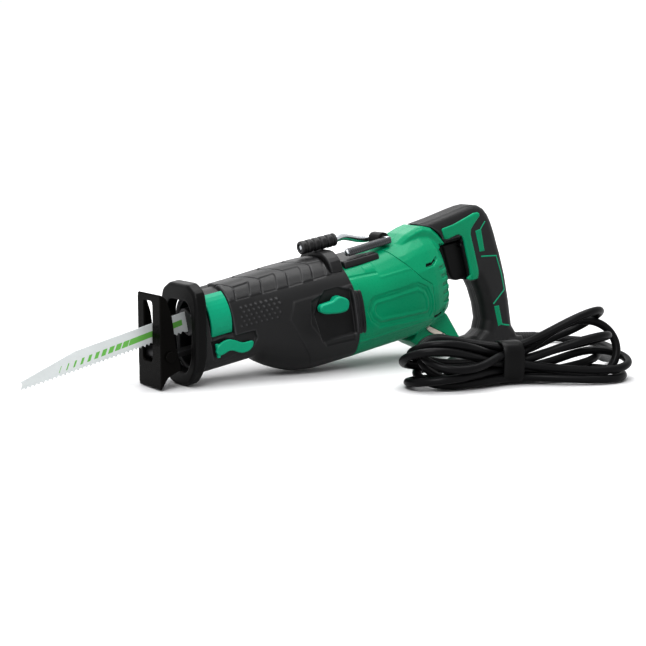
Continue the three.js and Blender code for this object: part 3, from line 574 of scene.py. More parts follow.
# ---- plug
PLUG_STATIONS = [  # along, half width, half height
    (-60.0, 4.9, 4.9), (-59.6, 5.2, 5.2), (-57, 5.4, 5.4), (-52, 6.3, 6.2), (-49.5, 7.4, 7.2),
    (-46, 9.6, 8.6), (-43, 11.4, 9.9), (-40, 12.3, 10.7), (-36, 12.5, 11.0), (-30, 12.0, 10.5),
    (-25, 12.0, 10.5), (-22.5, 12.5, 11.0),
    (-21.0, 12.4, 10.9), (-20.2, 11.9, 10.4), (-20.0, 11.0, 9.6),
]


def plug_rows():
    table = np.array(PLUG_STATIONS)
    along = np.concatenate([np.linspace(-60, -20.9, 120), np.linspace(-20.8, -20, 10)])
    turn = np.linspace(0, 2 * math.pi, 72, endpoint=False)
    rows = []
    for s in along:
        half, tall = np.interp(s, table[:, 0], table[:, 1]), np.interp(s, table[:, 0], table[:, 2])
        square = float(np.interp(s, (-55, -42), (1.0, 0.55)))
        y = half * np.sign(np.cos(turn)) * np.abs(np.cos(turn)) ** square
        z = tall * np.sign(np.sin(turn)) * np.abs(np.sin(turn)) ** square
        rib = 0.45 * bump_at((s + 60) % 3.0, 1.5, 0.5, 0.5) * (-59 < s < -49)
        grip = -0.5 * bump_at((s + 41) % 2.6, 1.3, 0.4, 0.5) * (-40 < s < -26)
        grip = grip * step(np.abs(y) / half, 0.75, 0.95)
        scale = 1 + (rib + grip) / half
        rows.append(np.stack([np.full_like(y, s), PLUG["y"] + y * scale, PLUG["z"] + z * scale], 1))
    return rows


plug_body = put(loft("plug", plug_rows(), from_hank), "black_rubber", "housing", "plug_body")


def plug_blade(name, across, replaced):
    rows = []
    for s, tall in ((-19.75, 3.2), (-19.7, 3.2), (-5.5, 3.2), (-3.4, 2.7), (-2.6, 1.9), (-2.5, 1.7)):
        thin = 0.75 if s < -4 else 0.45 if s < -3 else 0.25
        corner = [(-thin, -tall + 0.2), (-thin + 0.2, -tall), (thin - 0.2, -tall), (thin, -tall + 0.2),
                  (thin, tall - 0.2), (thin - 0.2, tall), (-thin + 0.2, tall), (-thin, tall - 0.2)]
        rows.append([(s, PLUG["y"] + across + y, PLUG["z"] + z) for y, z in corner])
    made = put(loft(name, rows, from_hank), "brass", "housing", replaced)
    made.data.polygons.foreach_set("use_smooth", np.zeros(len(made.data.polygons), bool))
    return made


plug_blades = [plug_blade("plug_prong_left", -6.35, "plug_blade_left"),
               plug_blade("plug_prong_right", 6.35, "plug_blade_right")]

# ---- tie
def tie_rows():
    turn = np.linspace(0, 2 * math.pi, 160, endpoint=False)
    squarish = lambda v, p: np.sign(v) * np.abs(v) ** p
    profile = [(-11, 0.2), (-10.9, 1.5), (-10.2, 2.0), (-5, 2.15), (0, 2.05), (5, 2.15), (10.2, 2.0),
               (10.9, 1.5), (11, 0.2), (10.2, 0.0), (0, 0.0), (-10.2, 0.0)]
    rows = []
    for s, out in profile:
        half, tall = 13.8 + out, 19.1 + out
        y = half * squarish(np.cos(turn), 0.7)
        z = 22.0 + tall * squarish(np.sin(turn), 0.7)
        rows.append(np.stack([np.full_like(y, s), y, z], 1))
    return rows


put(loft("tie_strap", tie_rows(), from_hank, closed=True), "black_plastic", "housing", "cord_tie")

# ---- cord guard
GUARD_ROOT = np.array((405.0, 0.0, -116.2))
GUARD_WAY = np.array((math.cos(PITCH), 0.0, -math.sin(PITCH)))


def guard_rows():
    along = np.linspace(9, 52, 170)
    rows = []
    for d in along:
        radius = 7.1 if d < 20 else np.interp(d, (20, 52), (7.1, 4.75))
        groove = 0.75 * bump_at((d - 22) % 4.2, 2.1, 0.55, 0.35) if 22 < d < 50 else 0
        end = 0.8 * step(d, 51.2, 52) + 0.8 * (1 - step(d, 9, 9.8))
        rows.append(radius - groove - end)
    line = GUARD_ROOT + along[:, None] * GUARD_WAY
    return tube_rows(line, rows, 48, up=(0, 1, 0))


put(loft("strain_relief", guard_rows(), from_saw), "black_rubber", "housing", "cord_guard")

# ---- the casing's form
# Each row: x, half width, top, bottom, half widths of the top and bottom flats, shoulder, hip.
FRONT_FORM = np.array([
    (0, 30, 33, -45, 13, 13, 16, -30), (30, 31.5, 36.5, -45, 14, 14, 17, -31),
    (68, 33, 37, -45, 15, 15, 16, -30), (80, 35, 37.5, -54, 16, 17, 15, -30),
    (96, 38, 38, -64, 17, 20, 13, -32), (116, 41, 38.5, -72, 18, 22, 11, -36),
    (140, 43, 38.5, -75, 18, 23, 9, -40), (183, 44.5, 36, -75.5, 18, 23, 4, -45),
], float)
REAR_FORM = np.array([
    (183.2, 44.5, 26, -75.5, 20, 23, 3, -45), (205, 46, 27, -75, 20, 23, 0, -48),
    (262, 46, 33, -74.5, 18, 23, 0, -50), (290, 43, 39, -70, 16, 22, 2, -50),
    (304, 39, 37, -66, 15, 20, 2, -46), (316, 31, 30, -60, 12, 16, 0, -42),
], float)


def smooth_table(table):
    """Interpolates every column against the first without overshooting."""
    at, values = table[:, 0], table[:, 1:]
    gap = np.diff(at)[:, None]
    rise = np.diff(values, axis=0) / gap
    slope = np.zeros_like(values)
    both = rise[:-1] * rise[1:] > 0
    safe = np.where(both, rise[:-1], 1), np.where(both, rise[1:], 1)
    slope[1:-1] = np.where(both, 2 / (1 / safe[0] + 1 / safe[1]), 0)
    slope[0], slope[-1] = rise[0], rise[-1]

    def look_up(x):
        x = np.clip(np.asarray(x, float), at[0], at[-1])
        i = np.clip(np.searchsorted(at, x) - 1, 0, len(at) - 2)
        h = (at[i + 1] - at[i])[..., None]
        t = ((x - at[i])[..., None]) / h
        return ((2 * t**3 - 3 * t**2 + 1) * values[i] + (t**3 - 2 * t**2 + t) * h * slope[i]
                + (3 * t**2 - 2 * t**3) * values[i + 1] + (t**3 - t**2) * h * slope[i + 1])
    return look_up


front_form, rear_form = smooth_table(FRONT_FORM), smooth_table(REAR_FORM)
ARC_STEPS, FLAT_STEPS = 34, 8


def section(form, x, inset):
    """The casing's ring at each x: (rings, points, 2) of y and z, anticlockwise from the left hip."""
    half, top, bottom, top_half, bottom_half, shoulder, hip = form(x).T
    half, top, bottom = half - inset, top - inset, bottom + inset
    top_half, bottom_half = top_half - 0.5 * inset, bottom_half - 0.5 * inset
    corner = np.stack([
        np.stack([half, hip], 1), np.stack([half, shoulder], 1), np.stack([top_half, top], 1),
        np.stack([-top_half, top], 1), np.stack([-half, shoulder], 1), np.stack([-half, hip], 1),
        np.stack([-bottom_half, bottom], 1), np.stack([bottom_half, bottom], 1)], 1)
    before, after = np.roll(corner, 1, axis=1), np.roll(corner, -1, axis=1)
    start, end = corner + 0.42 * (before - corner), corner + 0.42 * (after - corner)
    t = np.linspace(0, 1, ARC_STEPS)[None, None, :, None]
    arc = (1 - t) ** 2 * start[:, :, None] + 2 * t * (1 - t) * corner[:, :, None] + t**2 * end[:, :, None]
    f = np.linspace(0, 1, FLAT_STEPS + 2)[1:-1][None, None, :, None]
    flat = end[:, :, None] * (1 - f) + np.roll(start, -1, axis=1)[:, :, None] * f
    return np.concatenate([arc, flat], axis=2).reshape(len(x), -1, 2)


def rings(form, x, inset=0.0, slant=0.0):
    x = np.asarray(x, float)
    inset = np.broadcast_to(np.asarray(inset, float), x.shape)
    ring = section(form, x, inset)
    along = x[:, None] + np.broadcast_to(np.asarray(slant, float), x.shape)[:, None] * ring[:, :, 1]
    return np.concatenate([along[:, :, None], ring], axis=2)


def raised(rows, relief):
    """Moves each point of the rows square to the casing's side by relief(x, y, z)."""
    around = np.roll(rows, -1, axis=1) - np.roll(rows, 1, axis=1)
    out = np.stack([np.zeros(rows.shape[:2]), around[..., 2], -around[..., 1]], -1)
    out /= np.linalg.norm(out, axis=2)[..., None] + 1e-9
    return rows + out * relief(*np.moveaxis(rows, 2, 0))[..., None]


# ---- front cover
PLUNGER_Z = 7.0
ORBIT_POCKET = [(138, 0), (131, -12), (137, -43), (180, -44), (180, 2), (165, 9), (148, 9)]
DEPTH_POCKET = [(16, -12), (50, -12.5), (66, -13), (67, -20), (57, -35), (18, -36.5)]


def polar(y, z):
    """Distance from the plunger's axis, and the angle from straight up towards the left side, in degrees."""
    return np.hypot(y, z - PLUNGER_Z), np.degrees(np.arctan2(-y, z - PLUNGER_Z))


def shape_cover(points):
    """Sinks the lever's slot and the two pockets into the cover's left side."""
    x, y, z = points.T.copy()
    radius, angle = polar(y, z)
    slot = step(x, 17.0, 17.9) * (1 - step(x, 42.9, 43.8))
    slot = slot * step(angle, -15.5, -13.5) * (1 - step(angle, 120, 122))
    deep = np.minimum(radius, 27.6)
    shrink = 1 - slot * (1 - deep / np.maximum(radius, 1))
    y, z = y * shrink, PLUNGER_Z + (z - PLUNGER_Z) * shrink
    left = points[:, 1] < -20
    depth = step(outline_distance(DEPTH_POCKET, x, z), -0.4, 0.7) * left
    floor = -27.2 - 1.8 * step(x, 32, 43)
    y = np.where(depth > 0, y + depth * (np.maximum(y, floor) - y), y)
    orbit = step(outline_distance(ORBIT_POCKET, x, z), -0.4, 0.9) * left
    return np.stack([x, y + orbit * (np.maximum(y, -39.0) - y), z], 1)


RIB_STARTS = (52.0, 82.0, 112.0, 142.0)
RIB_LOW = 21.5
DOTS = {"x": 55.0, "z": 13.0, "pitch": 5.6, "rise": 4.4, "rows": 5, "last": 99.0}
SIDE_PANEL = [(111, 6), (103, -10.7), (112, -32), (124.5, -56), (131, -82), (195, -82), (195, 7.5)]
ORBIT_BASIN = [(130, 1.6), (125.5, -21), (143, -48.5), (177, -50.5), (178, 4.5), (162, 5.8), (141.5, 5.5)]


def cover_relief(x, y, z):
    """Height of the cover's moulded detail in mm: blocks on top, dots and a panel on the sides."""
    across = np.abs(y)
    height = 0.8 * step(z, RIB_LOW - 0.7, RIB_LOW + 0.5) * step(x, 43, 46) * (1 - step(x, 163, 166))
    lean = 5.5 * np.clip((z - 22.5) / 10.5, 0, 1) - np.clip(20 - across, 0, 20)
    on_blocks = step(z, RIB_LOW - 0.8, RIB_LOW)
    side = step(across, 16.5, 18.5)
    for start in RIB_STARTS:
        height -= 1.25 * bump_at(x - lean, start, 0.45, 0.5) * on_blocks
        wall = start + 16.5 + 6 * np.clip((z - 22) / 11, 0, 1)
        sunk = step(x - lean, start, start + 1.2) * (1 - step(x, wall - 0.5, wall + 0.5)) * side
        height -= 0.9 * sunk * on_blocks
    row = np.clip(np.round((DOTS["z"] - z) / DOTS["rise"]), 0, DOTS["rows"] - 1)
    shift = DOTS["x"] + (row % 2) * DOTS["pitch"] / 2 - 0.9 * row
    column = np.clip(np.round((x - shift) / DOTS["pitch"]), 0, 7)
    reach = np.hypot(x - shift - column * DOTS["pitch"], z - (DOTS["z"] - row * DOTS["rise"]))
    height += 0.95 * np.clip(1 - (reach / 1.75) ** 2, 0, 1) ** 0.8 * (across > 24)
    height += 0.8 * step(outline_distance(SIDE_PANEL, x, z), -0.9, 0.9) * step(across, 24, 30)
    return height


def left_basin(x, y, z):
    sunk = 1.3 * step(outline_distance(ORBIT_BASIN, x, z), -1.0, 1.2)
    groove = 0.6 * bump_at(x, 175.2, 0.5, 0.6) * (z > -40) * (z < 1)
    return (-sunk - groove) * (y < -20)


def cover_rows():
    front, back = 11.2, 182.7
    lean = lambda x: SLANT * np.clip((24 - x) / (24 - front), 0, 1)
    along = np.concatenate([np.linspace(front, back - 1, 240),
                            back - 1 + np.sin(np.linspace(0.2, math.pi / 2, 6))])
    drop = 1 - np.sqrt(np.clip(1 - ((along - (back - 1)).clip(0) / 1.0) ** 2, 0, 1))
    outer = rings(front_form, along, drop, lean(along))
    inner_x = np.linspace(back, 44.3, 60)
    inner = rings(front_form, inner_x, 4.0, lean(inner_x))
    nose_x = np.linspace(44, front, 24)
    nose = rings(front_form, nose_x, 7.0, lean(nose_x))
    return outer, inner, nose


def build_cover():
    outer, inner, nose = cover_rows()
    shape = outer.shape
    outer = raised(outer, lambda x, y, z: cover_relief(x, y, z) + left_basin(x, y, z))
    outer = shape_cover(outer.reshape(-1, 3)).reshape(shape)
    for pocket, floor in ((ORBIT_POCKET, -38.8), (DEPTH_POCKET, -28.8)):
        x, y, z = np.moveaxis(inner, 2, 0)
        near = step(outline_distance(pocket, x, z), -3.5, -1.5) * (y < -20)
        inner[..., 1] += near * (np.maximum(y, floor) - y)
    return loft("cover_sleeve", np.concatenate([outer, inner, nose]), from_saw, closed=True)


put(build_cover(), "black_rubber", "housing", "front_cover")

# ---- motor case
SEAM_LINE = np.array([(-140, 262), (-82, 262), (-56, 283), (-17, 283), (-7, 270), (29, 243), (70, 243)],
                     float)


def case_rows():
    share = np.concatenate([[0, 0.002, 0.006], np.linspace(0.012, 0.985, 150), [0.99, 0.994, 0.998, 1.0]])
    edge = np.minimum(share * 85, (1 - share) * 85)
    drop = 0.9 * (1 - np.sqrt(np.clip(1 - (1 - np.clip(edge, 0, 0.9) / 0.9) ** 2, 0, 1)))
    start = 183.3

    def at(inset):
        x = np.tile((start + share * 80)[:, None], (1, 8 * (ARC_STEPS + FLAT_STEPS)))
        for _ in range(5):
            ring = np.empty((*x.shape, 2))
            for row in range(len(share)):
                ring[row] = section(rear_form, x[row], np.full(x.shape[1], inset[row]))[
                    np.arange(x.shape[1]), np.arange(x.shape[1])]
            seam = np.interp(ring[..., 1], SEAM_LINE[:, 0], SEAM_LINE[:, 1]) - 0.3
            x = start + share[:, None] * (seam - start)
        return np.concatenate([x[..., None], ring], axis=2)

    outer = at(drop)
    inner = at(np.full(len(share), 4.0))[::-3]
    return outer, inner


BADGE_PANEL = [(199, -14), (205, -11), (264, -10), (275, -17), (280, -29), (280, -43), (275, -50.5),
               (266, -50), (207, -45), (197, -36), (194, -25)]


def case_relief(x, y, z):
    """Height of the motor case's moulded detail in mm: a stepped blank badge panel, and two side ridges."""
    side = step(np.abs(y), 24, 30)
    inside = outline_distance(BADGE_PANEL, x, z)
    height = -1.0 * step(inside, -0.4, 0.5) - 0.6 * step(inside, 2.7, 3.5) + 0.85 * step(inside, 5.3, 6.1)
    height -= 0.7 * step(inside, 8.5, 9.3)
    height -= 0.8 * bump_at(z, 12.6 - 0.06 * (x - 190), 0.6, 0.7) * (1 - step(x, 217, 220))
    height += 0.7 * step(z, 12.6 - 0.06 * (x - 190), 15.5) * step(x, 205, 206.5) * (1 - step(x, 218, 219.5))
    height += 0.5 * bump_at(z, 5.6, 0.3, 1.2) * step(x, 216, 222)
    height += 0.6 * bump_at(z, -55.5 + 0.02 * (x - 190), 0.4, 1.3)
    return height * side


def build_case():
    outer, inner = case_rows()
    outer = raised(outer, case_relief)
    return loft("motor_shell", np.concatenate([outer, inner]), from_saw, closed=True)


put(build_case(), "green_plastic", "housing", "motor_case")


def lip_rows(side):
    """A black lip with two upright ridges over the front edge of the motor case."""
    along = np.linspace(182.9, 190.6, 60)
    proud = 0.45 + 0.75 * bump_at(along, 184.9, 0.6, 0.6) + 0.75 * bump_at(along, 188.6, 0.6, 0.6)
    proud = np.where(along > 190, 0.45 * (190.6 - along) / 0.6, proud)
    per_corner = ARC_STEPS + FLAT_STEPS
    reach = slice(4 * per_corner + 16, 5 * per_corner + 20)
    outer = rings(rear_form, along, -proud)[:, reach]
    place = np.arange(outer.shape[1])
    fade = np.clip(np.minimum(place, place[::-1]) / 3, 0, 1)[None, :, None]
    inner = rings(rear_form, along, 0.8)[:, reach]
    outer = inner + (outer - inner) * (0.5 + 0.5 * fade)
    rows = np.concatenate([outer, inner[:, ::-1]], axis=1)
    rows[..., 1] *= -side
    return rows


for side_name, side in (("left", -1), ("right", 1)):
    put(loft(f"cover_lip_{side_name}", lip_rows(side), from_saw), "black_rubber", "housing")

# ---- tail cover halves
def close_seam(points):
    """Lets the two halves overlap at the middle so that they join into one body."""
    y = points[:, 1]
    points[:, 1] = np.where(np.abs(y) < 0.3, -np.sign(y) * 0.1, y)
    return points


tail = remeshed("tail", ["tail_cover_left", "tail_cover_right"], 0.9, 14, close_seam)
TAIL_SLOTS = [[(280, 2.5), (282.5, 5.5), (290, 5.2), (299.5, 9.5), (300, 6.5), (291, 1.8), (283, 1.6)],
              [(281, -55.5), (283, -53), (292, -52), (301, -48.5), (301.5, -51.5), (292, -55.5)]]


def tail_relief(points, out):
    x, y, z = points.T
    outside = step(out[:, 1] * np.sign(y), 0.3, 0.6)
    height = np.zeros(len(x))
    for slot in TAIL_SLOTS:
        height -= 3.0 * step(outline_distance(slot, x, z), -0.3, 0.6) * outside
    return height


press(tail, tail_relief)
tail_halves = split_at_seam(tail, "tail_shell_left", "tail_shell_right")
for half, node_name in zip(tail_halves, ("tail_cover_left", "tail_cover_right")):
    put(half, "green_plastic", "housing", node_name)
    # The floors of the pressed vent slots take black plastic: painted shade standing in for the dark inside of the
    # openings.
    half.data.materials.append(FINISHES["black_plastic"])
    centres = np.empty(len(half.data.polygons) * 3)
    half.data.polygons.foreach_get("center", centres)
    x, y, z = to_saw(centres.reshape(-1, 3)).T
    sunk = np.zeros(len(x), bool)
    for slot in TAIL_SLOTS:
        sunk |= (outline_distance(slot, x, z) > 0.35) & (np.abs(y) > 15)
    half.data.polygons.foreach_set("material_index", sunk.astype(int))

liner_x = np.linspace(297, 313.5, 40)
liner = np.concatenate([rings(rear_form, liner_x, 2.3), rings(rear_form, liner_x[::-1], 3.7)])
put(loft("louvre_liner", liner, from_saw, closed=True), "green_plastic", "housing")

# ---- handle halves
HANDLE = [
    (292, 42), (324, 44.5), (353, 47.8), (366, 49), (376, 48.8), (384, 46.5), (390.5, 41.8), (395.5, 34.3),
    (399, 25.2), (403, 11), (408, -12), (411.5, -38), (413, -70), (413, -98), (416, -112), (415, -127.45),
    (339, -114.05), (339, -98.5), (360, -98.5), (369.5, -93.5), (374, -83), (373.5, -66), (370, -48),
    (364.5, -33.5), (358, -33.5), (352, 14.6), (322, 15), (292, 20),
]
GRIP_HALF = 18.0
GRIP_ROUND = 13.0


def grip_half(x, z):
    """Half the handle's width over a point of its side, rolling in towards its outline."""
    inside = np.clip(outline_distance(HANDLE, x, z), 0, GRIP_ROUND)
    roll = np.sqrt(np.clip(1 - ((GRIP_ROUND - inside) / GRIP_ROUND) ** 2, 0, 1))
    edge = 0.2 + 0.24 * step(z, -12, 30)
    by_trigger = step(x, 322, 332) * step(-x, -374, -364) * step(z, -38, -32) * step(-z, -38, -30)
    edge = np.maximum(edge, 0.93 * by_trigger)
    full = GRIP_HALF * (edge + (1 - edge) * roll)
    foot = step(-z, 96, 112)
    flat = GRIP_HALF * (0.78 + 0.22 * np.clip(inside / 5, 0, 1))
    return full * (1 - foot) + np.maximum(full, flat) * foot


def round_grip(made):
    mesh = made.data
    points, out = to_saw(corners(mesh)), normals(mesh) @ SAW_TURN.T
    x, y, z = points.T
    limit = grip_half(x, z) - 3.0 * (out[:, 1] * y < -0.2)
    foot_lip = (x > 397) & (z < -108)
    limit = np.where(foot_lip, 30, limit)
    points[:, 1] = np.sign(y) * np.minimum(np.abs(y), limit)
    set_corners(mesh, from_saw(points))
    return made


GRIP_DOTS = [(377, -17), (391, -20), (397, -50), (388, -60), (374, -55)]


def handle_relief(points, out):
    """Rows of small dots on the sides of the grip."""
    x, y, z = points.T
    region = step(outline_distance(GRIP_DOTS, x, z), 0, 1) * (out[:, 1] * y > 0)
    region = region * step(np.abs(out[:, 1]), 0.6, 0.8)
    wave = np.cos(2 * math.pi * x / 3.2) * np.cos(2 * math.pi * z / 3.2)
    return 0.35 * region * np.clip(wave, 0, 1)


handle = remeshed("handle", ["handle_shell_left", "handle_shell_right"], 0.9, 4, close_seam)
round_grip(handle)
soften(handle.data, 30)
press(handle, handle_relief)
handle_halves = split_at_seam(handle, "grip_shell_left", "grip_shell_right")
put(handle_halves[0], "black_rubber", "housing", "handle_shell_left")
put(handle_halves[1], "black_rubber", "housing", "handle_shell_right")

# ---- green inlays on the handle
def thick_line(points, width):
    """The outline of a flat line of some width through the points, with square ends."""
    points = np.asarray(points, float)
    along = np.gradient(points, axis=0)
    along /= np.linalg.norm(along, axis=1)[:, None]
    side = np.stack([-along[:, 1], along[:, 0]], 1) * width / 2
    return np.vstack([points + side, (points - side)[::-1]])


INLAY_ROOT = 1.6


def inlay(name, outline, side, proud, fine=0.8):
    """A raised piece whose face follows the handle's side, from its outline in x and z."""
    outline = np.asarray(outline, float)
    work = bmesh.new()
    rim = []
    for a, b in zip(outline, np.roll(outline, -1, axis=0)):
        count = max(1, round(np.hypot(*(b - a)) / fine))
        rim += [tuple(a + (b - a) * k / count) for k in range(count)]
    ring = [work.verts.new((px, pz, 0)) for px, pz in rim]
    loop = [work.edges.new((ring[k], ring[(k + 1) % len(ring)])) for k in range(len(ring))]
    bmesh.ops.triangle_fill(work, edges=loop, use_beauty=True)
    for _ in range(7):
        long = [e for e in work.edges if e.calc_length() > 1.7 * fine]
        if not long:
            break
        bmesh.ops.subdivide_edges(work, edges=long, cuts=1, use_grid_fill=False)
        bmesh.ops.triangulate(work, faces=work.faces[:])
        bmesh.ops.beautify_fill(work, faces=work.faces[:], edges=[e for e in work.edges if not e.is_boundary])
    flat = np.array([v.co[:2] for v in work.verts])
    faces = [[v.index for v in f.verts] for f in work.faces if not work.verts.index_update()]
    border = [(e.verts[0].index, e.verts[1].index) for e in work.edges if e.is_boundary]
    work.free()
    depth = np.clip(np.abs(outline_distance(outline, flat[:, 0], flat[:, 1])), 0, 1.2)
    dome = proud * (0.35 + 0.65 * np.sqrt(np.clip(1 - (1 - depth / 1.2) ** 2, 0, 1)))
    base = grip_half(flat[:, 0], flat[:, 1])
    top = np.stack([flat[:, 0], side * (base + dome), flat[:, 1]], 1)
    under = np.stack([flat[:, 0], side * (base - INLAY_ROOT), flat[:, 1]], 1)
    count = len(flat)
    sides = [(a, b, b + count, a + count) for a, b in border]
    made = new_object(name, from_saw(np.vstack([top, under])),
                      faces + [[i + count for i in reversed(f)] for f in faces] + sides)
    return put(made, "green_plastic", "housing")


INLAYS = {
    "upper_bar": [(370.5, 20.8), (378.9, 21.5), (380.2, -4.2), (373.2, -3.7)],
    "upper_line": thick_line([(377.5, 20.5), (386.0, 28.6)], 1.6),
    "middle_line": thick_line([(374.5, -9.2), (396, -13.2), (400.5, -34), (402.3, -54), (384, -66.5)], 1.8),
    "lower_bar": [(384.6, -69.3), (391.5, -70.1), (393.5, -92.6), (386.8, -93.4)],
    "lower_line": thick_line([(392.2, -92.4), (404, -96.8)], 1.8),
}
SURROUND = [
    (323.7, 32.1), (325.2, 33.4), (340.6, 34.6), (370.9, 41), (377, 40.6), (379.2, 38.6), (378.9, 35.9),
    (369.3, 28.2), (364.6, 24), (363.2, 17.8), (365.3, 2.2), (367.9, -19), (368.6, -29.6), (367.6, -33),
    (364.6, -34.3), (357.5, -33), (351.8, -30.2), (352, -28.6), (356.6, -26.4), (356.6, -20),
    (354.8, -4), (353, 13.3), (351.2, 18.6), (345.6, 22.4), (331.8, 20.2), (327.5, 20.6), (325.6, 24),
]
for side_name, side in (("left", -1), ("right", 1)):
    for name, shape in INLAYS.items():
        inlay(f"{name}_{side_name}", shape, side, 0.45)
    surround = inlay(f"surround_{side_name}", SURROUND, side, 1.1, fine=1.0)
    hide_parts(f"trigger_surround_{side_name}")

# ---- pieces softened from their CAD solids
SOFTENED = [  # name, CAD node, voxel, rounds, slot, body
    ("collar", "nose_collar", 0.8, 16, "black_rubber", "housing"),
    ("saddle", "saddle_band", 0.6, 10, "black_rubber", "housing"),
    ("hook_pad", "hook_rest", 0.6, 8, "black_rubber", "housing"),
    ("hook_block", "hook_mount", 0.5, 6, "black_plastic", "housing"),
    ("release_band", "blade_release_lever", 0.45, 14, "green_plastic", "blade_release_lever"),
    ("depth_lever", "shoe_lever", 0.4, 8, "green_plastic", "shoe_lever"),
    ("orbit_knob", "orbital_lever", 0.45, 8, "green_plastic", "orbital_lever"),
    ("shoe_plate", "shoe", 0.6, 8, "black_paint", "shoe"),
    ("shoe_pin", "shoe_pivot_pin", 0.4, 8, "black_paint", "shoe_bracket"),
    ("shoe_arm", "shoe_bracket", 0.6, 5, "steel", "shoe_bracket"),
    ("clamp_body", "blade_clamp", 0.5, 5, "steel", "plunger"),
    ("trigger_blade", "trigger", 0.5, 10, "black_plastic", "trigger"),
    ("lozenge_plate", "lozenge_cover", 0.35, 6, "grey_plastic", "housing"),
]
# The collar's paler edges are painted highlight along its rims, together with edge wear.
COLLAR_RUBBER = finish("collar_rubber", (0.0035, 0.0035, 0.0035), 0.36, grain=1400, bump=0.2, vary=0.12,
                       edge=0.5, wear_and_glint_colour=(0.05, 0.05, 0.055), specular=0.11)
LOOKS = {"collar": COLLAR_RUBBER, "release_band": LEVER_GREEN, "depth_lever": LEVER_GREEN,
         "orbit_knob": LEVER_GREEN, "clamp_body": DARK_STEEL, "shoe_arm": DARK_STEEL}
for name, source, voxel, rounds, slot, body in SOFTENED:
    put(remeshed(name, [source], voxel, rounds), slot, body, source, look=LOOKS.get(name))

# ---- hanging hook
SHORT_ARM = [(252, -15, 36.9), (240, -15, 36), (215, -15, 35.2), (197, -15, 34.8)]
LONG_ARM = [(252, 15, 36.9), (243, 15, 37.4), (234, 14, 39.6), (222, 10, 44), (208, 3.5, 48.3), (197, 0, 49),
            (176, 0, 49.1), (152.5, 0, 49.3)]
SLEEVE = [(195.5, 0, 49), (176, 0, 49.1), (151.8, 0, 49.3)]
BARREL = [(252, -18, 36.9), (252, 18, 36.9)]


def rounded_ends(radius, run, corner):
    """The radius along a bar whose ends are rounded over by the corner."""
    end = np.clip(np.minimum(run, run[-1] - run), 0, corner)
    return radius - corner + np.sqrt(np.clip(corner**2 - (corner - end) ** 2, 0, None))


def bar(name, line, radius, slot, body, *replaced):
    line = evenly(curve_through(line, 16), 0.6)
    run = np.concatenate([[0], np.cumsum(np.linalg.norm(np.diff(line, axis=0), axis=1))])
    rows = tube_rows(line, rounded_ends(radius, run, 1.2), 32, up=(0, 0.3, 1))
    return put(loft(name, rows, from_saw), slot, body, *replaced)


bar("hook_long_arm", LONG_ARM, 3.4, "bright_steel", "hook", "hook_wire")
bar("hook_short_arm", SHORT_ARM, 3.4, "bright_steel", "hook")
bar("hook_barrel", BARREL, 4.0, "bright_steel", "hook")


def grip_strip_rows():
    """A flat knurled pad over the outer face of the short arm."""
    turn = np.linspace(0, 2 * math.pi, 56, endpoint=False)
    rows = []
    for x in np.arange(199.0, 255.41, 0.4):
        end = 1 - np.sqrt(np.clip(1 - (1 - np.clip(min(x - 199, 255.4 - x), 0, 2) / 2) ** 2, 0, 1))
        tall, deep = 3.9 - 1.4 * end, 4.1 - 1.2 * end
        y = deep * np.sign(np.cos(turn)) * np.abs(np.cos(turn)) ** 0.55
        z = tall * np.sign(np.sin(turn)) * np.abs(np.sin(turn)) ** 0.55
        knurl = 0.16 * np.sign(math.sin(2 * math.pi * x / 2.4)) * np.sign(np.sin(2 * math.pi * z / 2.2))
        middle = np.interp(x, (197, 215, 240, 252), (34.8, 35.2, 36.0, 36.4))
        rows.append(np.stack([np.full_like(y, x), -15.0 + y * (1 + knurl / deep), middle + z], 1))
    return rows


put(loft("hook_strip", grip_strip_rows(), from_saw), "steel", "hook", look=KNURLED)


def sleeve_rows():
    line = evenly(curve_through(SLEEVE, 30), 0.4)
    run = np.concatenate([[0], np.cumsum(np.linalg.norm(np.diff(line, axis=0), axis=1))])
    outer = rounded_ends(6.9, run, 1.4) - 1.1 * bump_at(run % 8.2, 4.1, 0.3, 1.6)
    rows = tube_rows(line, outer, 56)
    bore = tube_rows(line, np.full(len(line), 3.9), 56)[::-3]
    return np.concatenate([rows, bore])


put(loft("hook_grip", sleeve_rows(), from_saw, closed=True), "black_rubber", "hook", "hook_sleeve")

# ---- saw blade
BLADE_TIP, TOOTH_PITCH = -171.0, 4.5
TOOTH_FRONT = 5.5  # where the toothed edge gives way to the shank


def blade_outline():
    """The blade's back and toothed edge as x, z, anticlockwise from the shank."""
    edge = lambda x: -3 + 0.0585 * x
    back = [(24, 13), (8.5, 13), (8.5, 17.8), (-112, 9.6), (-170.6, -4.7), (-168.6, -7.1), (-171.9, -12.9)]
    teeth = [(-170.2, edge(-170.2) + 1.6), (-167.4, edge(-167.4) + 1.5)]
    x = BLADE_TIP + TOOTH_PITCH
    while x < TOOTH_FRONT - TOOTH_PITCH:
        teeth += [(x, edge(x)), (x + 0.5, edge(x) + 0.05), (x + 1.4, edge(x) + 1.75),
                  (x + 2.4, edge(x) + 1.95), (x + 3.6, edge(x) + 1.35)]
        x += TOOTH_PITCH
    return back + teeth + [(TOOTH_FRONT, edge(TOOTH_FRONT)), (8.5, edge(8.5)), (8.5, 1), (24, 1)]


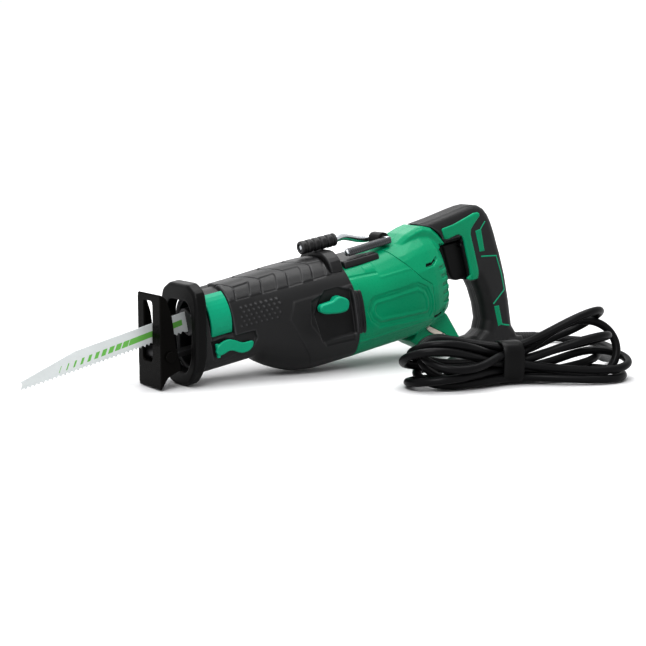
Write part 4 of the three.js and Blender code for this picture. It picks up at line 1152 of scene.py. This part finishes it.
def blade_plate():
    work = bmesh.new()
    ring = [work.verts.new((x, z, 0)) for x, z in blade_outline()]
    hole = [work.verts.new((17 + 2.6 * math.cos(a), PLUNGER_Z + 2.6 * math.sin(a), 0))
            for a in np.linspace(0, 2 * math.pi, 32, endpoint=False)]
    rim = []
    for loop in (ring, hole):
        rim += [work.edges.new((loop[k], loop[(k + 1) % len(loop)])) for k in range(len(loop))]
    bmesh.ops.triangle_fill(work, edges=rim, use_beauty=True)
    work.verts.index_update()
    flat = np.array([v.co[:2] for v in work.verts])
    faces = [[v.index for v in f.verts] for f in work.faces]
    border = [(e.verts[0].index, e.verts[1].index) for e in work.edges if e.is_boundary]
    work.free()
    x, z = flat.T
    low = -3 + 0.0585 * x
    tooth = np.floor((x - BLADE_TIP + 0.2) / TOOTH_PITCH)
    way = np.where(tooth % 3 == 0, 0, np.where(tooth % 3 == 1, 1, -1))
    lean = np.where(x < -8, 0.42 * way * np.clip(1 - (z - low), 0, 1), 0)
    count = len(flat)
    near = np.stack([x, -0.65 + lean, z], 1)
    far = np.stack([x, 0.65 + lean, z], 1)
    made = new_object("blade_plate", from_saw(np.vstack([near, far])),
                      faces + [[i + count for i in reversed(f)] for f in faces]
                      + [(a, b, b + count, a + count) for a, b in border])
    made.data.polygons.foreach_set("use_smooth", np.zeros(len(made.data.polygons), bool))
    return made


# A printed stripe along the blade: a line in x and z, and dashes that widen until they join.
STRIPE = {"slope": 0.087, "height": 7.8, "half": 2.8, "slant": 0.63, "start": -137.7, "end": 3.4,
          "pitch": 7.44, "count": 12}


def blade_finish():
    """Pale ground steel printed with a green stripe that breaks into slanting dashes towards the tip."""
    made = finish("blade_steel", (0.46, 0.48, 0.48), 0.36, metal=0.25, grain=380, bump=0.08, vary=0.05,
                  brushed=(1, 10, 10), specular=0.5)
    tree = made.node_tree
    shader = tree.nodes["Principled BSDF"]
    coord = node(tree, "ShaderNodeTexCoord").outputs["Object"]

    def maths(operation, a, b=None, c=None):
        made_node = node(tree, "ShaderNodeMath", operation=operation)
        for socket, value in zip(made_node.inputs, (a, b, c)):
            if isinstance(value, (int, float)):
                socket.default_value = value
            elif value is not None:
                tree.links.new(value, socket)
        return made_node.outputs["Value"]

    def along(axis, k):
        """The surface point's place along one axis of the saw's frame, in millimetres."""
        dot = node(tree, "ShaderNodeVectorMath", operation="DOT_PRODUCT")
        tree.links.new(coord, dot.inputs[0])
        dot.inputs[1].default_value = tuple(1000 * axis)
        return maths("ADD", dot.outputs["Value"], float(to_saw((0, 0, 0))[k]))

    x, z = along(SAW_TURN[0], 0), along(SAW_TURN[2], 2)
    rise = maths("SUBTRACT", z, maths("MULTIPLY_ADD", x, STRIPE["slope"], STRIPE["height"]))
    band = maths("LESS_THAN", maths("ABSOLUTE", rise), STRIPE["half"])
    slanted = maths("SUBTRACT", x, maths("MULTIPLY", rise, STRIPE["slant"]))
    counted = maths("MULTIPLY_ADD", slanted, 1 / STRIPE["pitch"], -STRIPE["start"] / STRIPE["pitch"])
    filled = maths("MULTIPLY", counted, 1 / STRIPE["count"])
    dash = maths("LESS_THAN", maths("FRACT", counted), filled)
    shown = maths("MULTIPLY", maths("GREATER_THAN", counted, 0.0), maths("LESS_THAN", x, STRIPE["end"]))
    stripe = maths("MULTIPLY", maths("MULTIPLY", band, dash), shown)
    tree.links.new(mix(tree, stripe, shader.inputs["Base Color"].links[0].from_socket, (0.12, 0.33, 0.07)),
                   shader.inputs["Base Color"])
    return made


put(blade_plate(), "bright_steel", "plunger", "saw_blade", look=blade_finish())

# ---- CAD nodes that keep their shape
KEPT = {record["node"]: record["material_slot"] for record in frame["record"]["subparts"]}
for name, slot in KEPT.items():
    mesh = frame["nodes"][name].data
    mesh.materials.clear()
    mesh.materials.append(DARK_STEEL if name in ("trigger_pin", "clamp_pin") else FINISHES[slot])

# ---- studio
def lamp(name, place, aim, size, power, colour=(1, 1, 1)):
    light = bpy.data.lights.new(name, "AREA")
    light.shape, light.size, light.size_y = "RECTANGLE", size[0], size[1]
    light.energy, light.color = power, colour
    made = bpy.data.objects.new(name, light)
    made.location = place
    made.rotation_euler = (Vector(aim) - Vector(place)).to_track_quat("-Z", "Y").to_euler()
    scene.collection.objects.link(made)


lamp("key", (-0.75, -1.0, 1.25), (0, 0, 0.05), (0.8, 0.8), 24)
lamp("top", (0.25, 0.15, 1.4), (0, 0, 0.05), (1.3, 0.8), 18)
lamp("back", (0.3, 1.4, 0.9), (0, 0, 0.08), (1.2, 0.6), 5)
sun = bpy.data.objects.new("overhead", bpy.data.lights.new("overhead", "SUN"))
sun.data.energy, sun.data.angle = 0.8, math.radians(50)
scene.collection.objects.link(sun)

world = bpy.data.worlds.new("studio")
world.use_nodes = True
world.node_tree.nodes["Background"].inputs["Color"].default_value = (1.0, 1.0, 1.0, 1)
world.node_tree.nodes["Background"].inputs["Strength"].default_value = 1.02
scene.world = world
scene.view_settings.view_transform = "Standard"
scene.view_settings.gamma = 0.8


def floor_finish():
    """Pale paper, greyer round the saw so that it throws little light back onto it."""
    made = finish("floor_paper", (0.52, 0.52, 0.525), 0.9, grain=60, bump=0.02, vary=0.01)
    tree = made.node_tree
    shader = tree.nodes["Principled BSDF"]
    away = node(tree, "ShaderNodeVectorMath", operation="LENGTH")
    tree.links.new(node(tree, "ShaderNodeTexCoord").outputs["Object"], away.inputs[0])
    far = node(tree, "ShaderNodeMapRange")
    tree.links.new(away.outputs["Value"], far.inputs["Value"])
    far.inputs["From Min"].default_value = 0.45
    far.inputs["From Max"].default_value = 1.7
    near_colour = shader.inputs["Base Color"].links[0].from_socket
    tree.links.new(mix(tree, far.outputs["Result"], near_colour, (0.97, 0.97, 0.97)), shader.inputs["Base Color"])
    return made


FLOOR_HALF, FLOOR_Z = 8, -0.0002
floor_mesh = bpy.data.meshes.new("floor")
floor_mesh.from_pydata([(x * FLOOR_HALF, y * FLOOR_HALF, FLOOR_Z) for x, y in ((-1, -1), (1, -1), (1, 1), (-1, 1))],
                       [], [(0, 1, 2, 3)])
floor = bpy.data.objects.new("floor", floor_mesh)
scene.collection.objects.link(floor)
floor.data.materials.append(floor_finish())

bpy.context.view_layer.update()
